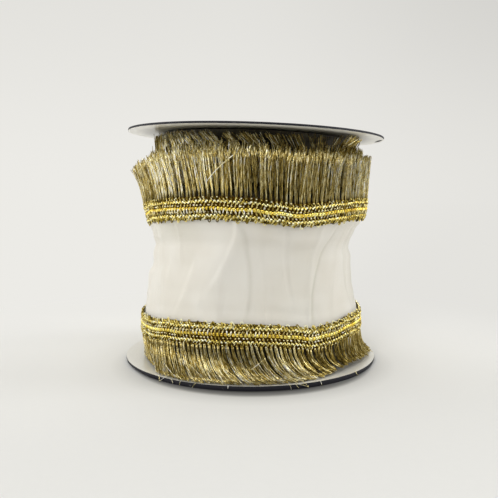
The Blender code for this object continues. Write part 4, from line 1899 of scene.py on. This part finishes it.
@dataclass(frozen=True)
class Studio:
    """The pale floor, the soft lights and the camera.

    Attributes:
        backdrop: The light that comes from behind the roll and from the sides.
        paper: The floor's own colour.
        left_gain: How much brighter the light is from the left.
        board: The light of a white board on the floor at the left, which the fringe mirrors.
        right_board: How much of such a board lies at the right.
        beside: How far from the middle the boards start and end, each edge from soft to full.
        along: Where they start and end from front to back, in the same way.
        front_gain: The painted light of the floor in front of the roll, against its own colour.
        back_gain: Its painted light beside the roll and behind it.
        left_floor_gain: How much brighter it is painted at the left.
        camera_at: Where the camera stands.
        camera_down: How far it looks down, in degrees.
        lens: Its focal length, in millimetres.
        shadow_from: What moves the middle of the disc's painted shadow on the floor to the origin.
        shadow_reach: How far out the shadow's stops reach.
        shadow: How dark it is from its middle out.
        softboxes: The lights.
    """

    backdrop: Color = (0.8, 0.79, 0.755)
    paper: Color = (0.772, 0.771, 0.758)
    left_gain: float = 0.35
    board: Color = (2.8, 2.77, 2.68)
    right_board: float = 0.65
    beside: tuple[Pair, ...] = ((0.18, 0.22), (0.45, 0.5))
    along: tuple[Pair, ...] = ((-0.5, -0.45), (0.05, 0.1))
    front_gain: float = 0.965
    back_gain: float = 1.075
    left_floor_gain: float = 0.045
    camera_at: Point = (-0.00168, -0.29235, 0.0760)
    camera_down: float = 5.12
    lens: float = 45.8
    shadow_from: Point = (0.0001, 0.0089, 0.0)
    shadow_reach: float = 0.28
    shadow: tuple[ShadowStop, ...] = table(
        ShadowStop,
        (0.165, 0.05), (0.17, 0.13), (0.1763, 0.23), (0.1813, 0.26), (0.185, 0.38), (0.1873, 0.5),
        (0.1908, 0.75), (0.1963, 0.83), (0.21, 0.915), (0.2275, 0.985), (0.29, 1.0),
    )
    softboxes: tuple[Softbox, ...] = (
        Softbox("left_softbox", (-0.85, 0.05, 0.28), 0.3, 0.5),
        Softbox("front_softbox", (-0.2, -0.8, 0.65), 0.5, 3.8),
        Softbox("right_softbox", (0.8, 0.0, 0.3), 0.35, 2.4),
    )

    def far_color(self, dress: Dressing, way: NodeSocket) -> NodeSocket:
        """The backdrop's colour in a direction: a little brighter low down and to the left.

        Args:
            dress: What fills the tree.
            way: The direction.

        Returns:
            The colour.
        """
        x, _, z = dress.parts(way)
        high = z.over(0.0, 0.35)
        right = x.over(-0.05, 0.45)
        level = 1.05 - 0.1 * high - 0.08 * right - 0.076 * (high * right)
        return dress.times(dress.grey(level), self.backdrop)

    def floor_color(self, dress: Dressing, place: NodeSocket) -> NodeSocket:
        """The floor's colour with the spool's painted soft shadow and painted light, black far out in
        front of the roll.

        Args:
            dress: What fills the tree.
            place: The point on the floor.

        Returns:
            The colour.
        """
        x, y, _ = dress.parts(place)
        light = tuple(min(channel * 1.02, 1.0) for channel in self.paper)
        color = dress.mix(dress.noise(place, 0.4, 3.0), light, self.paper)
        aside = (1.0 - (-x).over(0.1, 0.3)) * (1.0 - x.over(0.2, 0.4))
        color = dress.mix((-y).over(0.15, 0.3) * aside, color, (0.0, 0.0, 0.0))
        # Painted shadow of the spool's rim, a ring shifted to the front.
        away = dress.length(dress.moved(place, self.shadow_from)) * (1.0 / self.shadow_reach)
        shadow = dress.ramp(away, [(stop, (level,) * 3) for stop, level in self.shadow])
        # Painted light: the floor is brighter behind the roll and at the left.
        back = y.over(-0.08, 0.02) * (self.back_gain - self.front_gain)
        left = (-x).over(0.02, 0.08) * y.within((-0.14, -0.06), (0.08, 0.16))
        gain = back + self.front_gain + left * self.left_floor_gain
        return dress.times(dress.times(color, shadow), dress.grey(gain))

    def boards(self, dress: Dressing, place: NodeSocket) -> Number:
        """How bright a white board lies at each point of the floor, beside and before the roll.

        Args:
            dress: What fills the tree.
            place: The point on the floor.

        Returns:
            The share of the left board's light.
        """
        x, y, _ = dress.parts(place)
        both = (-x).within(*self.beside) + self.right_board * x.within(*self.beside)
        return both * y.within(*self.along)

    def floor(self) -> None:
        """A wide pale floor, which goes over into the backdrop's own colour behind the roll."""
        bm = bmesh.new()
        bmesh.ops.create_circle(bm, cap_ends=True, radius=4.0, segments=64)
        mesh = mesh_of(bm, "floor")
        material, dress = new_material("pale_floor")
        place = dress.place()
        _, y, _ = dress.parts(place)
        paper = dress.node("ShaderNodeBsdfDiffuse", {}, {"Color": self.floor_color(dress, place)})
        way = dress.node("ShaderNodeVectorMath", {"operation": "NORMALIZE"}, {0: place}).out(0)
        glow = dress.node("ShaderNodeEmission", {}, {"Color": self.far_color(dress, way)})
        far = dress.length(place).over(0.07, 0.2) * y.over(-0.05, 0.06)
        both = dress.node("ShaderNodeMixShader", {}, {0: far, 1: paper.out(0), 2: glow.out(0)})
        lit = dress.node("ShaderNodeEmission", {}, {"Color": (*self.board, 1.0)})
        inputs = {0: self.boards(dress, place), 1: both.out(0), 2: lit.out(0)}
        dress.finish(dress.node("ShaderNodeMixShader", {}, inputs).out(0))
        mesh.materials.append(material)
        floor = bpy.data.objects.new("floor", mesh)
        bpy.context.scene.collection.objects.link(floor)
        floor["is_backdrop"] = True

    def world(self) -> None:
        """Even soft light that dims low in front of the roll and brightens at the left."""
        world = bpy.data.worlds.new("studio")
        world.use_nodes = True
        world.node_tree.nodes.clear()
        bpy.context.scene.world = world
        dress = Dressing(world.node_tree)
        way = dress.node("ShaderNodeTexCoord", {}, {}).out("Generated")
        x, y, z = dress.parts(way)
        low_front = (x * 0.1 - y).over(0.2, 0.85) * (1.0 - z.over(0.1, 0.7))
        color = dress.mix(low_front, self.far_color(dress, way), (0.0, 0.0, 0.0))
        extra = dress.grey((-x).over(0.5, 0.9) * self.left_gain)
        color = dress.node("ShaderNodeVectorMath", {"operation": "ADD"}, {0: color, 1: extra}).out(0)
        light = dress.node("ShaderNodeBackground", {}, {"Color": color, "Strength": 1.0})
        dress.node("ShaderNodeOutputWorld", {}, {"Surface": light.out(0)})

    def camera(self) -> None:
        """A camera where the photograph was taken from."""
        lens = bpy.data.cameras.new("camera")
        lens.lens = self.lens
        lens.sensor_width = 36.0
        lens.clip_start = 0.01
        eye = bpy.data.objects.new("camera", lens)
        bpy.context.scene.collection.objects.link(eye)
        eye.location = self.camera_at
        eye.rotation_euler = (math.radians(90.0 - self.camera_down), 0.0, 0.0)
        bpy.context.scene.camera = eye

    def build(self) -> None:
        """The whole studio."""
        self.camera()
        self.floor()
        self.world()
        for softbox in self.softboxes:
            softbox.build()
        bpy.context.scene.view_settings.view_transform = "Standard"


# The lower flange's dark edge, hung down as a dark sheet that stands for the shade in the gap under its
# bowed rim.
SHADE_LIPS = table(
    ShadeLip,
    (-180, 0.4), (-75, 0.1), (-58, 0.15), (-44, 0.6), (-30, 1.0), (45, 1.07), (58, 0.6), (75, 0.15),
    (180, 0.4),
)
LOWER_FLANGE = Flange("lower_flange", "spool_flange_bottom", 0.0, 1.1, 0.0, True, 57.5, shade_lips=SHADE_LIPS)
UPPER_FLANGE = Flange(
    "upper_flange",
    "spool_flange_top",
    WINDING.flange_height,
    0.0,
    WINDING.flange_tilt,
    False,
    56.85,
    slip=0.4,
    # Painted shade of the threads on the inner face near the middle.
    shade=0.85,
    pale=(0.92, 0.9, 0.82),
    mark=(56.2, -5.7),
)
BRAIDS = (
    Braid(
        Side.UPPER,
        67.85,
        48.95,
        table(
            Cover,
            (-180, 0.4), (-100, 0.35, 1.7, -0.05), (-68, 0.45, 1.7, -0.07), (-48, 0.5, 0.0, -0.07),
            (-35, 1.0, 0.0, 0.05), (-8, 0.8, 0.0, 0.1), (8, 0.15, 0.0, 0.07),
            (60, 0.25, 0.0, -0.18), (180, 0.4),
        ),
        11,
    ),
    Braid(
        Side.LOWER,
        20.05,
        49.6,
        table(
            Cover,
            (-180, 0.4), (-55, 0.2, 0.0, 0.02), (-40, 0.6, 0.0, 0.04), (-25, 1.0, 0.0, 0.08),
            (5, 0.8, 0.0, 0.1), (22, 0.3, 0.0, 0.06), (55, 0.05, 0.0, -0.06), (180, 0.4),
        ),
        12,
    ),
)
FRINGES = (
    Fringe(
        "fringe_upper",
        table(
            Control,
            (50.2, 72.1, 0.0), (50.6, 78.5, 0.0), (52.0, 85.5, 0.2), (53.3, 91.2, 0.5),
        ),
        bundles=BUNDLES, threads=13, points=6, root=(0.4, 0.35), tip=(1.15, 0.75),
        uneven=0.6, lean=0.9, seed=21,
        fall=table(
            Fall,
            (-180, 1.0, -0.8, -0.5), (-100, -1.0, 0.0, -3.2, 0.05), (-80, -1.0, 0.0, -2.8, 0.05),
            (-62, -1.0, 0.0, -2.2, 0.1), (-50, -0.7, 0.05, -1.0, 0.31),
            (-35, -0.4, 0.1, -1.2, 0.24), (-22, -0.15, 0.15, -1.15, 0.17),
            (-9, 0.1, 0.1, -0.8, 0.0), (0, 0.3, 0.0, -0.3, -0.08), (15, 0.7, -0.2, -0.2, -0.02),
            (30, 1.0, -0.4, 0.3, 0.08), (44, 0.8, -1.0, -0.7, 0.28), (60, 0.6, -1.7, -1.0, 0.4),
            (80, 0.5, -2.0, -1.2, 0.3), (110, 0.3, -2.2, -1.0), (180, 1.0, -0.8, -0.5),
        ),
        curl=0.8,
        thread=0.16,
        tip_tone=0.32,
    ),
    Fringe(
        "fringe_second_turn",
        table(
            Control,
            (45.6, 76.2, 0.0), (46.0, 82.0, 0.0), (46.6, 88.5, 0.2), (47.2, 93.8, 0.4),
        ),
        bundles=150, threads=10, points=5, root=(0.6, 0.4), tip=(1.1, 1.0),
        uneven=0.9, lean=1.2, seed=22,
        fall=table(
            Fall,
            (-180, 1.0, -0.5), (-90, 1.0, -1.6, -0.5, 0.15), (-30, 1.0, 0.0, -0.2, 0.4),
            (10, 1.0, 0.0, 0.3, 0.2), (55, 1.0, 0.1, -0.4, 0.0), (100, 1.0, 0.1, -0.6),
            (180, 1.0, -0.5),
        ),
        curl=0.9,
        thread=0.165,
    ),
    Fringe(
        "fringe_inner_turns",
        table(
            Control,
            (43.0, 80.0, 0.0), (43.3, 87.0, -0.5), (43.9, 93.5, -3.0), (44.4, 99.6, -10.5),
        ),
        bundles=140, threads=7, points=5, root=(0.8, 0.8), tip=(1.1, 1.0),
        uneven=0.5, lean=2.5, seed=23,
        fall=table(
            Fall,
            (-180, 1.0, -0.5), (-90, 0.1, -1.2, -0.5), (-60, 0.2, -0.8, -0.8, 0.35),
            (-40, 0.9, -0.4, -0.5, 0.35), (-14, 1.0, 0.0, -0.9, 0.3), (0, 1.0, 0.2, -1.4, 0.25),
            (24, 1.0, 0.3, -1.2, 0.05), (36, 0.5, 1.0, -0.7, 0.0), (44, -0.3, 6.5, -0.4, 0.1),
            (50, -0.3, 7.0, -0.4, 0.1), (58, -0.4, 3.0, -0.2), (68, -0.5, 1.1), (110, -0.5, 1.0),
            (180, 1.0, -0.5),
        ),
        curl=1.0,
        thread=0.16,
        root_calm=0.0,
        tone_mix=(0.32, 0.4),
        ends=0.0,
    ),
    Fringe(
        "fringe_lower",
        table(
            Control,
            (50.2, 15.9, 0.0), (50.6, 10.5, 0.5), (51.4, 5.2, 4.0), (55.4, 2.3, 9.5),
        ),
        bundles=BUNDLES, threads=12, points=8, root=(0.4, 0.35), tip=(1.2, 0.6),
        uneven=0.25, lean=0.6, seed=24,
        fall=table(
            Fall,
            (-180, 0.8, -1.0), (-100, 1.1, -6.5), (-78, 1.3, -7.0), (-64, 1.4, -5.0),
            (-52, 1.25, 0.0), (-41, 1.15, 1.4), (-20, 1.1, 1.5, 0.0, 0.1), (5, 1.1, 1.0, 0.0, 0.2),
            (20, 1.0, -1.0), (35, 0.85, -3.2, 1.0, -0.3), (50, 0.7, -3.5, 1.8, -0.35),
            (62, 0.6, -2.2, 1.4, -0.25), (80, 0.5, 0.0, 0.5), (180, 0.8, -1.0),
        ),
        on_card=True,
        curl=0.45,
        thread=0.155,
        ends=0.25,
    ),
)


class Stray(NamedTuple):
    """A loose cut thread from one place to another, in millimetres, and how far it bows to the right."""

    start: Point
    end: Point
    bow: float = 0.0


@dataclass(frozen=True)
class LooseThreads:
    """The few threads that lie across the fringes or stick out over the rim.

    Attributes:
        name: The piece's name.
        longest: The radius of the first thread, which crosses the upper fringe.
        thread: The radius of the others.
        points: How many points each has.
        rows: Where they lie.
    """

    name: str = "loose_threads"
    longest: float = 0.19
    thread: float = 0.12
    points: int = 6
    rows: tuple[Stray, ...] = table(
        Stray,
        ((-17.6, -51.0, 80.2), (-7.6, -55.8, 89.7), -0.8),
        ((39.1, -31.3, 94.4), (42.2, -29.6, 98.1)),
        ((-37.1, -38.2, 7.8), (-30.1, -48.2, 3.0), -0.5),
        ((-33.4, -44.9, 3.7), (-37.9, -43.6, 0.3)), ((-38.4, -42.3, 2.9), (-37.8, -43.5, 0.3), 0.3),
        ((-32.8, -46.3, 2.2), (-31.8, -47.6, 0.8), 0.2), ((-28.7, -48.8, 2.2), (-29.1, -49.2, 0.4)),
        ((-22.2, -51.8, 2.2), (-23.8, -52.0, 0.3), -0.2), ((-9.7, -55.1, 2.5), (-9.8, -55.8, 1.1)),
        ((13.5, -53.7, 2.9), (14.6, -54.4, 0.4), 0.2), ((16.1, -53.0, 2.4), (17.6, -53.5, 0.6)),
        ((19.6, -51.8, 2.4), (21.6, -52.0, 0.3), 0.3),
        ((16.9, -53.3, 2.3), (21.5, -52.0, 0.6), 0.4), ((26.4, -48.6, 2.4), (27.0, -49.3, 0.3)),
        ((42.1, -36.2, 2.5), (43.3, -36.0, 0.6)), ((-0.9, -54.4, 8.1), (4.7, -52.4, 12.0)),
        ((-24.9, -49.4, 5.5), (-31.1, -42.6, 11.8), 0.4),
        ((-18.8, -53.4, 3.2), (-25.9, -47.2, 8.8), 0.5),
        ((-4.0, -56.2, 2.9), (-12.2, -52.4, 8.7), 0.6),
    )

    def build(self, finishes: dict[str, Material]) -> Object:
        """The dressed threads.

        Args:
            finishes: The thread materials by name.

        Returns:
            The piece.
        """
        share = np.linspace(0.0, 1.0, self.points)[None, :, None]
        starts = np.array([row.start for row in self.rows])[:, None, :]
        ends = np.array([row.end for row in self.rows])[:, None, :]
        bows = np.array([(row.bow, 0.0, 0.0) for row in self.rows])[:, None, :]
        paths = (starts + (ends - starts) * share + bows * np.sin(share * math.pi)) * MM
        thick = np.array([self.longest] + [self.thread] * (len(self.rows) - 1))[:, None] * MM
        shape = tubes(paths, thick, 4, np.linspace(1.0, 0.85, len(self.rows)))
        finish = [finishes[FRINGE_THREAD.name]]
        return add_piece(self.name, shape.mesh(self.name), finish)


def report_size(before: Sequence[Any], after: Sequence[Any]) -> None:
    """Puts the CAD box and the visual model's box beside each other as lists of numbers.

    Args:
        before: The CAD box, as its lowest and highest corners in metres.
        after: That of the visual model.
    """
    boxes = {
        name: [[float(number) for number in corner] for corner in box]
        for name, box in (("cad", before), ("visual", after))
    }


def main() -> None:
    """Builds the studio, the spool, the roll and its trims, in that order."""
    logging.basicConfig(level=logging.INFO, format="%(message)s")
    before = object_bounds()
    Studio().build()
    LOWER_FLANGE.build()
    UPPER_FLANGE.build()
    InnerTurns().build()
    finishes = {thread.name: thread.material() for thread in THREADS}
    turn = OuterTurn()
    cloth = turn.build()
    trims = [piece for braid in BRAIDS for piece in braid.build(finishes)]
    fringes = [fringe.build(finishes) for fringe in FRINGES]
    LooseThreads().build(finishes)
    report_size(before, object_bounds())


if __name__ == "__main__":
    main()
